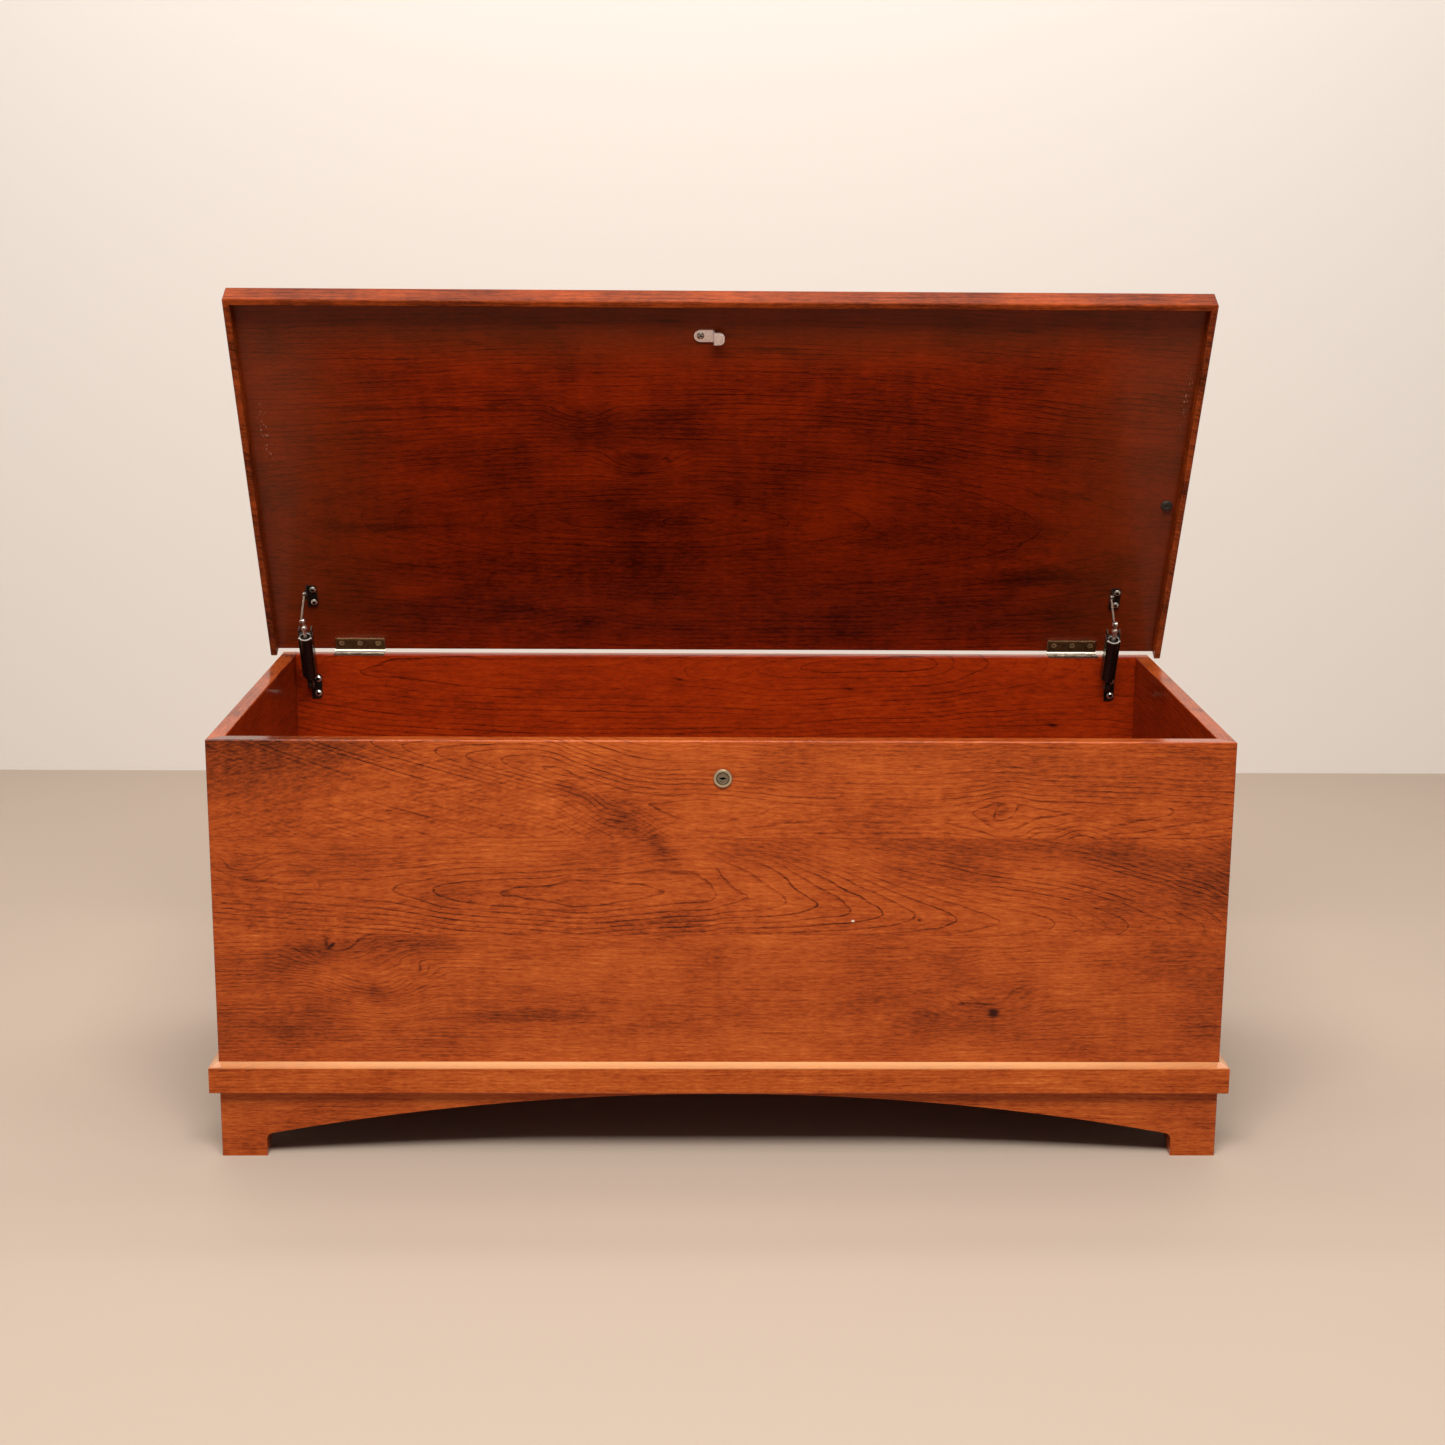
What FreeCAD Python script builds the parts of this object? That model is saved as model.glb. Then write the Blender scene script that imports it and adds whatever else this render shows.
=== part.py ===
import FreeCAD, Part
import math, os

# Wooden storage chest with a hinged lid, two folding lid stays and a cam lock.
# Millimetres, +Z up, +X to the chest's right as seen from the front, front faces -Y.
# The chest is drawn with y = 0 at the front face of the case and the lid closed.
# The lid group is then swung open to its rest angle, and everything is moved by
# -Y_MID so that the origin is the bottom centre of the whole object's box at rest.

V = FreeCAD.Vector
X_DIR, Y_DIR, Z_DIR = V(1, 0, 0), V(0, 1, 0), V(0, 0, 1)
SIDES = ((-1, "left"), (1, "right"))

# ---------------------------------------------------------------- driving dimensions
# case
WIDTH, DEPTH = 1118.0, 500.0
RIM_Z = 480.0
WALL = 19.0
HALF_W = WIDTH / 2
INNER_X = HALF_W - WALL       # inner face of a side wall
BACK_Y = DEPTH - WALL         # inner face of the back wall
BASE_Z = 92.0                 # joint of walls and base frame, hidden by the moulding
SEAM_LOW_Z, SEAM_HIGH_Z = 260.5, 371.0    # seams between the three front boards
RIM_OUT_R, RIM_IN_R = 2.0, 1.5            # eased rim edges
FRONT_CORNER_R, REAR_CORNER_R = 1.5, 1.2
BOTTOM_Z, BOTTOM_T, BOTTOM_GAP = 112.0, 12.7, 0.4
CLEAT = 18.0

# base frame
FOOT_W = 50.5
BLOCK, BLOCK_Z = 30.0, 6.0    # corner blocks: section and lower end
ARCH_KNEE_Z, ARCH_KNEE_R = 21.0, 8.0
FRONT_ARCH_R, FRONT_ARCH_TOP = 2716.0, 74.0
SIDE_ARCH_R, SIDE_ARCH_TOP = 645.0, 58.0
BACK_CUT_TOP, BACK_CUT_R = 48.0, 12.0
MOULD_PROUD = 9.8

# lid, measured closed
OPEN = 63.5                   # lid angle at rest, from closed
PIN_Y, PIN_Z = 502.0, 480.6   # lid hinge axis
LID_REAR = 500.0
LID_LEN = 513.7               # rear edge to outer front face
LID_FRONT = LID_REAR - LID_LEN
LID_HALF_W = 573.5            # over the edging
LID_T, EDGE_T = 14.3, 8.0     # lid panel and edging thickness
LID_Z = PIN_Z + 2.2           # underside of the panel
LID_TOP = LID_Z + LID_T
EDGE_Z = LID_Z - 14.7         # lower side of the edging
LID_PANEL_X = LID_HALF_W - EDGE_T
LID_REAR_R = 2.0

# hinges
HINGE_X = 459.5               # hinge centre, left and right
HINGE_LEN, LEAF_W, LEAF_T, LEAF_GAP = 63.5, 20.4, 2.0, 0.2
KNUCKLES = 5
KNUCKLE_W = HINGE_LEN / KNUCKLES
KNUCKLE_R, KNUCKLE_GAP, HINGE_PIN_R = 2.8, 0.12, 1.5

# lid stays: x of each stay, and (y, z) of its pivots with the lid open
STAY_XS = (-519.3, 501.2)
CASE_PIVOT = (467.79, 443.77)     # foot of the barrel, on the case bracket
ROD_PIVOT = (422.92, 533.50)      # end of the rod, on the link
LID_PIVOT = (451.09, 562.49)      # eye of the link, on the lid bracket
BRACKET_T = 1.6

# lock, strike and bumper
LOCK_Z = 438.4
LOCK_R, LOCK_LEN = 8.0, 34.0      # housing barrel; its inner end is at y = LOCK_LEN
STRIKE_Y = LID_REAR - 462.0
STRIKE_T = 1.6
BUMPER_X, BUMPER_Y = 553.4, LID_REAR - 227.2

# rearmost point: the rounded top rear edge of the opened lid
Y_MAX = (PIN_Y
         - (PIN_Y - LID_REAR + LID_REAR_R) * math.cos(math.radians(OPEN))
         + (LID_TOP - PIN_Z - LID_REAR_R) * math.sin(math.radians(OPEN))
         + LID_REAR_R)
Y_MID = (Y_MAX - MOULD_PROUD) / 2


# ---------------------------------------------------------------- helpers
def box(x0, x1, y0, y1, z0, z1):
    return Part.makeBox(x1 - x0, y1 - y0, z1 - z0, V(x0, y0, z0))


def side_box(side, x_out, x_in, y0, y1, z0, z1):
    """box between two distances from the middle plane, on side -1 or 1"""
    x0, x1 = sorted((side * x_out, side * x_in))
    return box(x0, x1, y0, y1, z0, z1)


def cylinder(base, axis, radius, length):
    return Part.makeCylinder(radius, length, V(*base), V(*axis))


def cone(base, axis, r_base, r_end, length):
    return Part.makeCone(r_base, r_end, length, V(*base), V(*axis))


def prism(points, push):
    """closed polygon through 3-D points, pushed along a vector"""
    corners = [V(*p) for p in points]
    return Part.Face(Part.makePolygon(corners + [corners[0]])).extrude(V(*push))


def hex_prism(centre, across, up, corner_r, start_deg, push):
    angles = [math.radians(60 * i + start_deg) for i in range(6)]
    points = [centre + across * (corner_r * math.cos(a)) + up * (corner_r * math.sin(a))
              for a in angles]
    return prism(points, push)


def fuse(first, *others):
    for other in others:
        first = first.fuse(other)
    return first.removeSplitter()


def near(a, b):
    return abs(a - b) < 1e-4


def ease(shape, radius, along=None, **at):
    """rounds the edges with both ends at the given coordinates; with along, only
    those that run parallel to that axis"""
    def wanted(edge):
        if len(edge.Vertexes) != 2:
            return False
        start, end = [vertex.Point for vertex in edge.Vertexes]
        for axis, value in at.items():
            if not (near(getattr(start, axis), value) and near(getattr(end, axis), value)):
                return False
        return along is None or all(near(getattr(start, axis), getattr(end, axis))
                                    for axis in "xyz" if axis != along)
    return shape.makeFillet(radius, [edge for edge in shape.Edges if wanted(edge)])


def ease_rim(shape, radius, axis, level):
    """rounds the edges that lie wholly in the plane axis = level"""
    rim = [e for e in shape.Edges if near(getattr(e.BoundBox, axis + "Min"), level)
           and near(getattr(e.BoundBox, axis + "Max"), level)]
    return shape.makeFillet(radius, rim)


def mitre_front(side, x, y):
    """wedge holding the front board's share of the 45 degree corner at (side * x, y)"""
    far = 3000.0
    return prism([(side * (x + 50), y - 50, -100), (side * (x - far), y + far, -100),
                  (side * (x - far), y - 50, -100)], (0, 0, 2000))


def mitre_flank(side, x, y):
    """wedge holding the side board's share of the same corner"""
    far = 3000.0
    return prism([(side * (x + 50), y - 50, -100), (side * (x - far), y + far, -100),
                  (side * (x + 50), y + far, -100)], (0, 0, 2000))


def mitre_both_ends(shape, x, y):
    for side, _ in SIDES:
        shape = shape.common(mitre_front(side, x, y))
    return shape


def swing(shape):
    """swings a lid part about the hinge axis, from closed to open"""
    shape = shape.copy()
    shape.rotate(V(0, PIN_Y, PIN_Z), X_DIR, -OPEN)
    return shape


def save(name, *pieces):
    """writes one node; every piece ends up as a closed solid of it"""
    solids = []
    for piece in pieces:
        moved = piece.copy()
        moved.translate(V(0, -Y_MID, 0))
        solids += moved.Solids
    shape = solids[0] if len(solids) == 1 else Part.makeCompound(solids)
    shape.exportStep("parts/%s.step" % name)


# ---------------------------------------------------------------- screws
# A seat is the point on the surface under the head; into points into the wood.
def hinge_seats(hinge_x, z):
    return [V(hinge_x + dx, PIN_Y - 12.4, z) for dx in (-23.4, 0.0, 23.4)]


def case_stay_seats(stay_x):
    return [V(stay_x + 7.2, BACK_Y - BRACKET_T, z) for z in (448.4, 429.6)]


def lid_stay_seats(stay_x):
    return [V(stay_x + 7.0, LID_REAR - dy, LID_Z - BRACKET_T) for dy in (94.6, 75.2)]


SEAT_GAP = LEAF_GAP + 0.05
CASE_SEAT_Z, LID_SEAT_Z = PIN_Z - SEAT_GAP, PIN_Z + SEAT_GAP
CASE_HINGE_SCREWS = dict(
    seats=[p for side, _ in SIDES for p in hinge_seats(side * HINGE_X, CASE_SEAT_Z)],
    into=-Z_DIR, head_r=3.5, shank_r=1.6, length=16.0, domed=False)
LID_HINGE_SCREWS = dict(
    seats=[p for side, _ in SIDES for p in hinge_seats(side * HINGE_X, LID_SEAT_Z)],
    into=Z_DIR, head_r=3.5, shank_r=1.6, length=12.0, domed=False)
CASE_STAY_SCREWS = dict(
    seats=[p for x in STAY_XS for p in case_stay_seats(x)],
    into=Y_DIR, head_r=4.3, shank_r=1.7, length=15.0, domed=True)
LID_STAY_SCREWS = dict(
    seats=[p for x in STAY_XS for p in lid_stay_seats(x)],
    into=Z_DIR, head_r=4.3, shank_r=1.7, length=12.0, domed=True)
STRIKE_SCREWS = dict(
    seats=[V(-24.4, STRIKE_Y - 0.4, LID_Z - STRIKE_T)],
    into=Z_DIR, head_r=4.3, shank_r=1.8, length=12.0, domed=True)


def screw(seat, into, head_r, shank_r, length, domed):
    """wood screw with a domed head above the seat or a countersunk head below it"""
    tip = 3.0
    if domed:
        head_h = head_r * 0.5
        sphere_r = (head_r ** 2 + head_h ** 2) / (2 * head_h)
        top, slot_reach, pit_r = seat - into * head_h, 1.7, 2.2
        dome = Part.makeSphere(sphere_r, seat + into * (sphere_r - head_h))
        dome = dome.common(cylinder(seat - into * (head_h + 0.5), into,
                                    head_r + 0.001, head_h + 0.5))
        body = dome.fuse(cylinder(seat, into, shank_r, length - tip))
    else:
        taper = head_r - shank_r
        top, slot_reach, pit_r = seat, 1.5, 1.5
        body = cone(seat, into, head_r, shank_r, taper)
        body = body.fuse(cylinder(seat + into * taper, into, shank_r, length - tip - taper))
    body = body.fuse(cone(seat + into * (length - tip), into, shank_r, 0.3, tip))
    body = body.removeSplitter()
    # driver pit and cross recess
    body = body.cut(cone(top - into * 0.5, into, pit_r + 0.5, pit_r - 0.9, 1.4))
    first = into.cross(V(0.3, 0.7, 0.2))
    first.normalize()
    second = into.cross(first)
    for along, across in ((first, second), (second, first)):
        reach, half_slot = along * (slot_reach * 1.1), across * 0.35
        start = top - into
        body = body.cut(prism([start + reach + half_slot, start + reach - half_slot,
                               start - reach - half_slot, start - reach + half_slot],
                              into * 2.2))
    return body


def make_screws(group):
    size = {key: value for key, value in group.items() if key != "seats"}
    return [screw(seat, **size) for seat in group["seats"]]


def drill(shape, group):
    """pilot holes for a group of screws"""
    into = group["into"]
    for seat in group["seats"]:
        shape = shape.cut(cylinder(seat - into * 0.001, into,
                                   group["shank_r"] + 0.05, group["length"] + 0.6))
    return shape


# ---------------------------------------------------------------- case walls
def case_envelope():
    """block with eased upright front corners, trimming the mitred boards"""
    block = box(-HALF_W, HALF_W, 0, DEPTH + 50, -10, RIM_Z + 10)
    return ease(block, FRONT_CORNER_R, along="z", y=0.0)


def make_front_boards(envelope):
    upper = box(-HALF_W, HALF_W, 0, WALL, SEAM_HIGH_Z, RIM_Z)
    upper = ease(upper, RIM_OUT_R, y=0.0, z=RIM_Z)
    upper = ease(upper, RIM_IN_R, y=WALL, z=RIM_Z)
    upper = mitre_both_ends(upper, HALF_W, 0).common(envelope)
    save("front_board_upper", upper.cut(cylinder((0, -5, LOCK_Z), Y_DIR, LOCK_R + 0.1, 40)))
    for name, z0, z1 in (("middle", SEAM_LOW_Z, SEAM_HIGH_Z), ("lower", BASE_Z, SEAM_LOW_Z)):
        board = mitre_both_ends(box(-HALF_W, HALF_W, 0, WALL, z0, z1), HALF_W, 0)
        save("front_board_" + name, board.common(envelope))


def make_side_panel(side, label, envelope):
    panel = side_box(side, HALF_W, INNER_X, 0, DEPTH, BASE_Z, RIM_Z)
    panel = ease(panel, RIM_OUT_R, x=side * HALF_W, z=RIM_Z)
    panel = ease(panel, RIM_IN_R, x=side * INNER_X, z=RIM_Z)
    panel = panel.common(mitre_flank(side, HALF_W, 0)).common(envelope)
    save(label + "_side_panel", ease(panel, REAR_CORNER_R, x=side * HALF_W, y=DEPTH))


def make_back_panel():
    back = box(-INNER_X, INNER_X, BACK_Y, DEPTH, BASE_Z, RIM_Z)
    back = ease(back, RIM_IN_R, y=BACK_Y, z=RIM_Z)
    back = ease(back, RIM_IN_R, y=DEPTH, z=RIM_Z)
    recess_half = HINGE_LEN / 2 + 0.6
    for side, _ in SIDES:
        back = back.cut(box(side * HINGE_X - recess_half, side * HINGE_X + recess_half,
                            BACK_Y - 5, DEPTH + 5, PIN_Z - LEAF_GAP - LEAF_T, RIM_Z + 10))
    back = drill(back, CASE_HINGE_SCREWS)
    save("back_panel", drill(back, CASE_STAY_SCREWS))


def make_bottom():
    gap = BOTTOM_GAP
    save("bottom_panel", box(-INNER_X + gap, INNER_X - gap, WALL + gap, BACK_Y - gap,
                             BOTTOM_Z, BOTTOM_Z + BOTTOM_T))
    # front and back cleats fit between the side cleats
    short_x = INNER_X - CLEAT
    for name, x0, x1, y0, y1 in (
            ("front", -short_x, short_x, WALL, WALL + CLEAT),
            ("back", -short_x, short_x, BACK_Y - CLEAT, BACK_Y),
            ("left", -INNER_X, -short_x, WALL, BACK_Y),
            ("right", short_x, INNER_X, WALL, BACK_Y)):
        save("bottom_cleat_" + name, box(x0, x1, y0, y1, BOTTOM_Z - CLEAT, BOTTOM_Z))


# ---------------------------------------------------------------- base frame
def arch_cutter(half, top, radius):
    """cutter for an arched rail along x: straight sides at +-half up to the knee, then
    a long arc with its crown at z = top; all edges at knee height are rounded"""
    centre_z = top - radius
    knee_z = centre_z + math.sqrt(radius ** 2 - half ** 2)
    disc = cylinder((0, -5, centre_z), Y_DIR, radius, WALL + 10)
    cutter = box(-half, half, -5, WALL + 5, -5, top + 5).common(disc)
    return ease(cutter, ARCH_KNEE_R, z=knee_z)


def make_aprons(envelope):
    half = HALF_W - FOOT_W
    front = box(-HALF_W, HALF_W, 0, WALL, 0, BASE_Z)
    front = front.cut(arch_cutter(half, FRONT_ARCH_TOP, FRONT_ARCH_R))
    save("front_apron", mitre_both_ends(front, HALF_W, 0).common(envelope))
    for side, label in SIDES:
        cutter = arch_cutter(DEPTH / 2 - FOOT_W, SIDE_ARCH_TOP, SIDE_ARCH_R)
        cutter.rotate(V(0, 0, 0), Z_DIR, 90)      # now runs along y
        cutter.translate(V(side * (HALF_W - WALL / 2) + WALL / 2, DEPTH / 2, 0))
        apron = side_box(side, HALF_W, INNER_X, 0, DEPTH, 0, BASE_Z).cut(cutter)
        apron = apron.common(mitre_flank(side, HALF_W, 0)).common(envelope)
        save(label + "_apron", ease(apron, REAR_CORNER_R, x=side * HALF_W, y=DEPTH))
    cutter = box(-half, half, BACK_Y - 5, DEPTH + 5, -5, BACK_CUT_TOP)
    cutter = ease(cutter, BACK_CUT_R, z=BACK_CUT_TOP)
    save("back_apron", box(-INNER_X, INNER_X, BACK_Y, DEPTH, 0, BASE_Z).cut(cutter))


def make_corner_blocks():
    for row, y0 in (("front", WALL), ("back", BACK_Y - BLOCK)):
        for side, label in SIDES:
            save("corner_block_%s_%s" % (row, label),
                 side_box(side, INNER_X, INNER_X - BLOCK, y0, y0 + BLOCK, BLOCK_Z, BASE_Z))


def make_mouldings():
    """flat strips with a bevelled top and mitred front corners"""
    proud = MOULD_PROUD
    # distance out from the case face, z
    profile = [(0, 78.0), (proud - 0.9, 78.0), (proud, 78.9),
               (proud, 107.1), (proud - 0.5, 108.15), (0, 112.0)]
    front = prism([(-HALF_W - proud, -out, z) for out, z in profile],
                  (WIDTH + 2 * proud, 0, 0))
    save("front_moulding", mitre_both_ends(front, HALF_W, 0))
    for side, label in SIDES:
        strip = prism([(side * (HALF_W + out), -proud, z) for out, z in profile],
                      (0, DEPTH + proud, 0))
        save(label + "_moulding", strip.common(mitre_flank(side, HALF_W, 0)))


# ---------------------------------------------------------------- lid (drawn closed)
def make_lid_panel():
    lid = box(-LID_PANEL_X, LID_PANEL_X, LID_FRONT + EDGE_T, LID_REAR, LID_Z, LID_TOP)
    lid = ease(lid, LID_REAR_R, y=LID_REAR, z=LID_TOP)
    lid = ease(lid, 1.0, y=LID_REAR, z=LID_Z)
    for group in (LID_HINGE_SCREWS, LID_STAY_SCREWS, STRIKE_SCREWS):
        lid = drill(lid, group)
    lid = lid.cut(cylinder((BUMPER_X, BUMPER_Y, LID_Z - 1), Z_DIR, 2.55, 9.0))
    save("lid_panel", swing(lid))


def make_lid_edging():
    top_r, low_out_r, low_in_r, corner_r = 2.5, 2.0, 1.0, 2.5
    envelope = box(-LID_HALF_W, LID_HALF_W, LID_FRONT, LID_REAR, EDGE_Z - 10, LID_TOP + 10)
    envelope = ease(envelope, corner_r, along="z", y=LID_FRONT)

    front = box(-LID_HALF_W, LID_HALF_W, LID_FRONT, LID_FRONT + EDGE_T, EDGE_Z, LID_TOP)
    front = ease(front, top_r, y=LID_FRONT, z=LID_TOP)
    front = ease(front, low_out_r, y=LID_FRONT, z=EDGE_Z)
    front = ease(front, low_in_r, y=LID_FRONT + EDGE_T, z=EDGE_Z)
    front = mitre_both_ends(front, LID_HALF_W, LID_FRONT)
    save("lid_front_edging", swing(front.common(envelope)))

    for side, label in SIDES:
        strip = side_box(side, LID_HALF_W, LID_PANEL_X, LID_FRONT, LID_REAR, EDGE_Z, LID_TOP)
        strip = ease(strip, top_r, x=side * LID_HALF_W, z=LID_TOP)
        strip = ease(strip, low_out_r, x=side * LID_HALF_W, z=EDGE_Z)
        strip = ease(strip, low_in_r, x=side * LID_PANEL_X, z=EDGE_Z)
        strip = strip.common(mitre_flank(side, LID_HALF_W, LID_FRONT)).common(envelope)
        # round the top rear end like the panel
        arc_y, arc_z = LID_REAR - LID_REAR_R, LID_TOP - LID_REAR_R
        x_low = min(side * LID_HALF_W, side * LID_PANEL_X)
        corner = side_box(side, LID_HALF_W + 1, LID_PANEL_X - 1,
                          arc_y, LID_REAR + 1, arc_z, LID_TOP + 1)
        corner = corner.cut(cylinder((x_low - 2, arc_y, arc_z), X_DIR,
                                     LID_REAR_R, EDGE_T + 4))
        save("lid_%s_edging" % label, swing(strip.cut(corner)))


# ---------------------------------------------------------------- hinges
def hinge_leaf(centre_x, is_case):
    """leaf drawn closed; the case leaf carries knuckles 0, 2, 4 and the lid leaf 1, 3"""
    left, right = centre_x - HINGE_LEN / 2, centre_x + HINGE_LEN / 2
    z0 = PIN_Z - LEAF_GAP - LEAF_T if is_case else PIN_Z + LEAF_GAP
    leaf = box(left, right, PIN_Y - LEAF_W, PIN_Y - 0.6, z0, z0 + LEAF_T)
    leaf = ease(leaf, 1.0, along="z", y=PIN_Y - LEAF_W)
    own = []
    for i in range(KNUCKLES):
        x0, x1 = left + i * KNUCKLE_W, left + (i + 1) * KNUCKLE_W
        first, last = i == 0, i == KNUCKLES - 1
        if (i % 2 == 0) == is_case:
            x0 += 0 if first else KNUCKLE_GAP
            x1 -= 0 if last else KNUCKLE_GAP
            own.append(cylinder((x0, PIN_Y, PIN_Z), X_DIR, KNUCKLE_R, x1 - x0))
        else:
            x0 -= KNUCKLE_GAP + (1 if first else 0)
            x1 += KNUCKLE_GAP + (1 if last else 0)
            leaf = leaf.cut(cylinder((x0, PIN_Y, PIN_Z), X_DIR, KNUCKLE_R + 0.3, x1 - x0))
    leaf = fuse(leaf, *own)
    bore_r = HINGE_PIN_R + (0.02 if is_case else 0.05)
    leaf = leaf.cut(cylinder((centre_x - 40, PIN_Y, PIN_Z), X_DIR, bore_r, 80))
    into = -Z_DIR if is_case else Z_DIR
    for seat in hinge_seats(centre_x, CASE_SEAT_Z if is_case else LID_SEAT_Z):
        leaf = leaf.cut(cylinder(seat - into, into, 3.55, 1.0))
        leaf = leaf.cut(cone(seat, into, 3.55, 1.62, 1.93)).cut(cylinder(seat, into, 1.65, 4))
    return leaf


def make_hinges():
    pins = []
    for side, label in SIDES:
        centre_x = side * HINGE_X
        save("hinge_%s_case_leaf" % label, hinge_leaf(centre_x, True))
        save("hinge_%s_lid_leaf" % label, swing(hinge_leaf(centre_x, False)))
        pins.append(cylinder((centre_x - HINGE_LEN / 2 + 0.3, PIN_Y, PIN_Z), X_DIR,
                             HINGE_PIN_R, HINGE_LEN - 0.6))
    save("hinge_pins", *pins)
    save("hinge_case_screws", *make_screws(CASE_HINGE_SCREWS))
    save("hinge_lid_screws", *[swing(s) for s in make_screws(LID_HINGE_SCREWS)])


# ---------------------------------------------------------------- lid stays
ALONG = V(0, ROD_PIVOT[0] - CASE_PIVOT[0], ROD_PIVOT[1] - CASE_PIVOT[1])
STAY_LEN = ALONG.Length
ALONG.normalize()                     # along the barrel, from its pivot to the rod end
ACROSS = V(0, ALONG.z, -ALONG.y)      # across the barrel, towards the back of the chest
BARREL_START, BARREL_END = 13.0, 76.0
ROD_R, ROD_START = 2.4, 30.0
CASE_RIVET_R, LINK_PIN_R, LID_RIVET_R = 2.5, 1.8, 1.6


def closed_lid_pivot():
    """LID_PIVOT turned back about the hinge axis to the closed lid"""
    dy, dz = LID_PIVOT[0] - PIN_Y, LID_PIVOT[1] - PIN_Z
    cos, sin = math.cos(math.radians(OPEN)), math.sin(math.radians(OPEN))
    return (PIN_Y + dy * cos - dz * sin, PIN_Z + dy * sin + dz * cos)


CLOSED_PIVOT = closed_lid_pivot()


def stay_point(x, along, across=0):
    """point in barrel coordinates, measured from the case pivot"""
    return V(x, *CASE_PIVOT) + ALONG * along + ACROSS * across


def stay_plate(x0, x1, outline):
    """flat plate in the barrel's side plane; outline is (along, across)"""
    return prism([stay_point(x0, *point) for point in outline], (x1 - x0, 0, 0))


def disc(x0, x1, centre, radius):
    """cylinder along x about a (y, z) centre"""
    return cylinder((x0, *centre), X_DIR, radius, x1 - x0)


def strap(x0, x1, start, end, radius):
    """bar with two round ends in a plane of constant x"""
    a, b = V(x0, *start), V(x0, *end)
    run = b.sub(a)
    run.normalize()
    offset = V(0, -run.z, run.y) * radius
    flat = prism([a + offset, b + offset, b - offset, a - offset], (x1 - x0, 0, 0))
    return fuse(flat, disc(x0, x1, start, radius), disc(x0, x1, end, radius))


def rivet_head(x, centre, radius, height, facing):
    """low dome on the plane of constant x, pointing to facing (+1 or -1)"""
    sphere_r = (radius ** 2 + height ** 2) / (2 * height)
    dome = Part.makeSphere(sphere_r, V(x - facing * (sphere_r - height), *centre))
    x0 = x if facing > 0 else x - height - 0.5
    return dome.common(disc(x0, x0 + height + 0.5, centre, radius + 0.01))


def case_bracket(x):
    """plate on the back wall with one ear at its left edge"""
    y, z = CASE_PIVOT
    ear_r = 6.5
    plate = box(x - 0.9, x + 12.2, BACK_Y - BRACKET_T, BACK_Y, 423.2, 455.0)
    plate = ease(plate, 5.0, along="y", x=x + 12.2)
    ear = fuse(box(x - 0.9, x + 0.9, y, BACK_Y - BRACKET_T / 2, z - ear_r, z + ear_r),
               disc(x - 0.9, x + 0.9, CASE_PIVOT, ear_r))
    bracket = fuse(plate, ear).cut(disc(x - 5, x + 5, CASE_PIVOT, CASE_RIVET_R + 0.02))
    for seat in case_stay_seats(x):
        bracket = bracket.cut(cylinder(seat - Y_DIR, Y_DIR, 1.75, 4))
    return bracket


def barrel(x):
    """round body in a thin channel, with a forked foot on the case pivot"""
    # outlines: (along, across)
    cheek = [(15, -4), (74, -4), (84, 3), (86, 9.2), (80, 11.4), (20, 11.4), (12, 5), (12, 0)]
    web = [(24, 8.8), (77, 8.8), (77, 10.0), (24, 10.0)]
    foot_r = 5.6
    foot = [(0, -foot_r), (19, -foot_r), (19, foot_r), (0, foot_r)]
    fork_gap = [(-10, -12), (12.5, -12), (12.5, 12), (-10, 12)]
    body = cylinder(stay_point(x, BARREL_START), ALONG, 7.4, BARREL_END - BARREL_START)
    collar = cylinder(stay_point(x, BARREL_END - 4), ALONG, 7.9, 4.0)
    cheeks = [stay_plate(x + dx, x + dx + 1.4, cheek) for dx in (-8.4, 7.0)]
    feet = [fuse(stay_plate(x + dx, x + dx + 2.2, foot),
                 disc(x + dx, x + dx + 2.2, CASE_PIVOT, foot_r)) for dx in (-3.2, 1.0)]
    shape = fuse(body, collar, stay_plate(x - 7.6, x + 7.6, web), *cheeks, *feet)
    shape = shape.cut(stay_plate(x - 1.0, x + 1.0, fork_gap))
    shape = shape.cut(cylinder(stay_point(x, 20), ALONG, ROD_R + 0.05, 70))
    return shape.cut(disc(x - 5, x + 5, CASE_PIVOT, CASE_RIVET_R + 0.05))


def rod(x):
    """round rod ending in a flat tongue"""
    end, eye_r = STAY_LEN, 3.4
    outline = [(end - 8.6, -2.2), (end - 8.6, 2.2), (end - 5, eye_r),
               (end, eye_r), (end, -eye_r), (end - 5, -eye_r)]
    shape = cylinder(stay_point(x, ROD_START), ALONG, ROD_R, end - 6.5 - ROD_START)
    tongue = fuse(stay_plate(x - 1.2, x + 1.2, outline),
                  disc(x - 1.2, x + 1.2, ROD_PIVOT, eye_r))
    shape = shape.cut(disc(x - 3.4, x - 1.2, ROD_PIVOT, 6.2))
    shape = shape.cut(disc(x + 1.2, x + 3.4, ROD_PIVOT, 6.2))
    return fuse(shape, tongue).cut(disc(x - 5, x + 5, ROD_PIVOT, LINK_PIN_R + 0.05))


def rod_nut(x):
    across_flats = 7.0
    nut = hex_prism(stay_point(x, STAY_LEN - 12.0), ACROSS, X_DIR,
                    across_flats / math.sqrt(3), 30, ALONG * 2.8)
    return nut.cut(cylinder(stay_point(x, STAY_LEN - 16), ALONG, ROD_R + 0.03, 10))


def link(x):
    """strap from the rod tongue to the lid bracket, its upper eye loose on the rivet"""
    x0, x1 = x - 3.3, x - 1.3
    shape = fuse(strap(x0, x1, ROD_PIVOT, LID_PIVOT, 2.0),
                 disc(x0, x1, LID_PIVOT, 4.2), disc(x0, x1, ROD_PIVOT, 3.4))
    shape = shape.cut(disc(x - 5, x + 5, ROD_PIVOT, LINK_PIN_R + 0.05))
    return shape.cut(disc(x - 5, x + 5, LID_PIVOT, 2.55))


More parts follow.
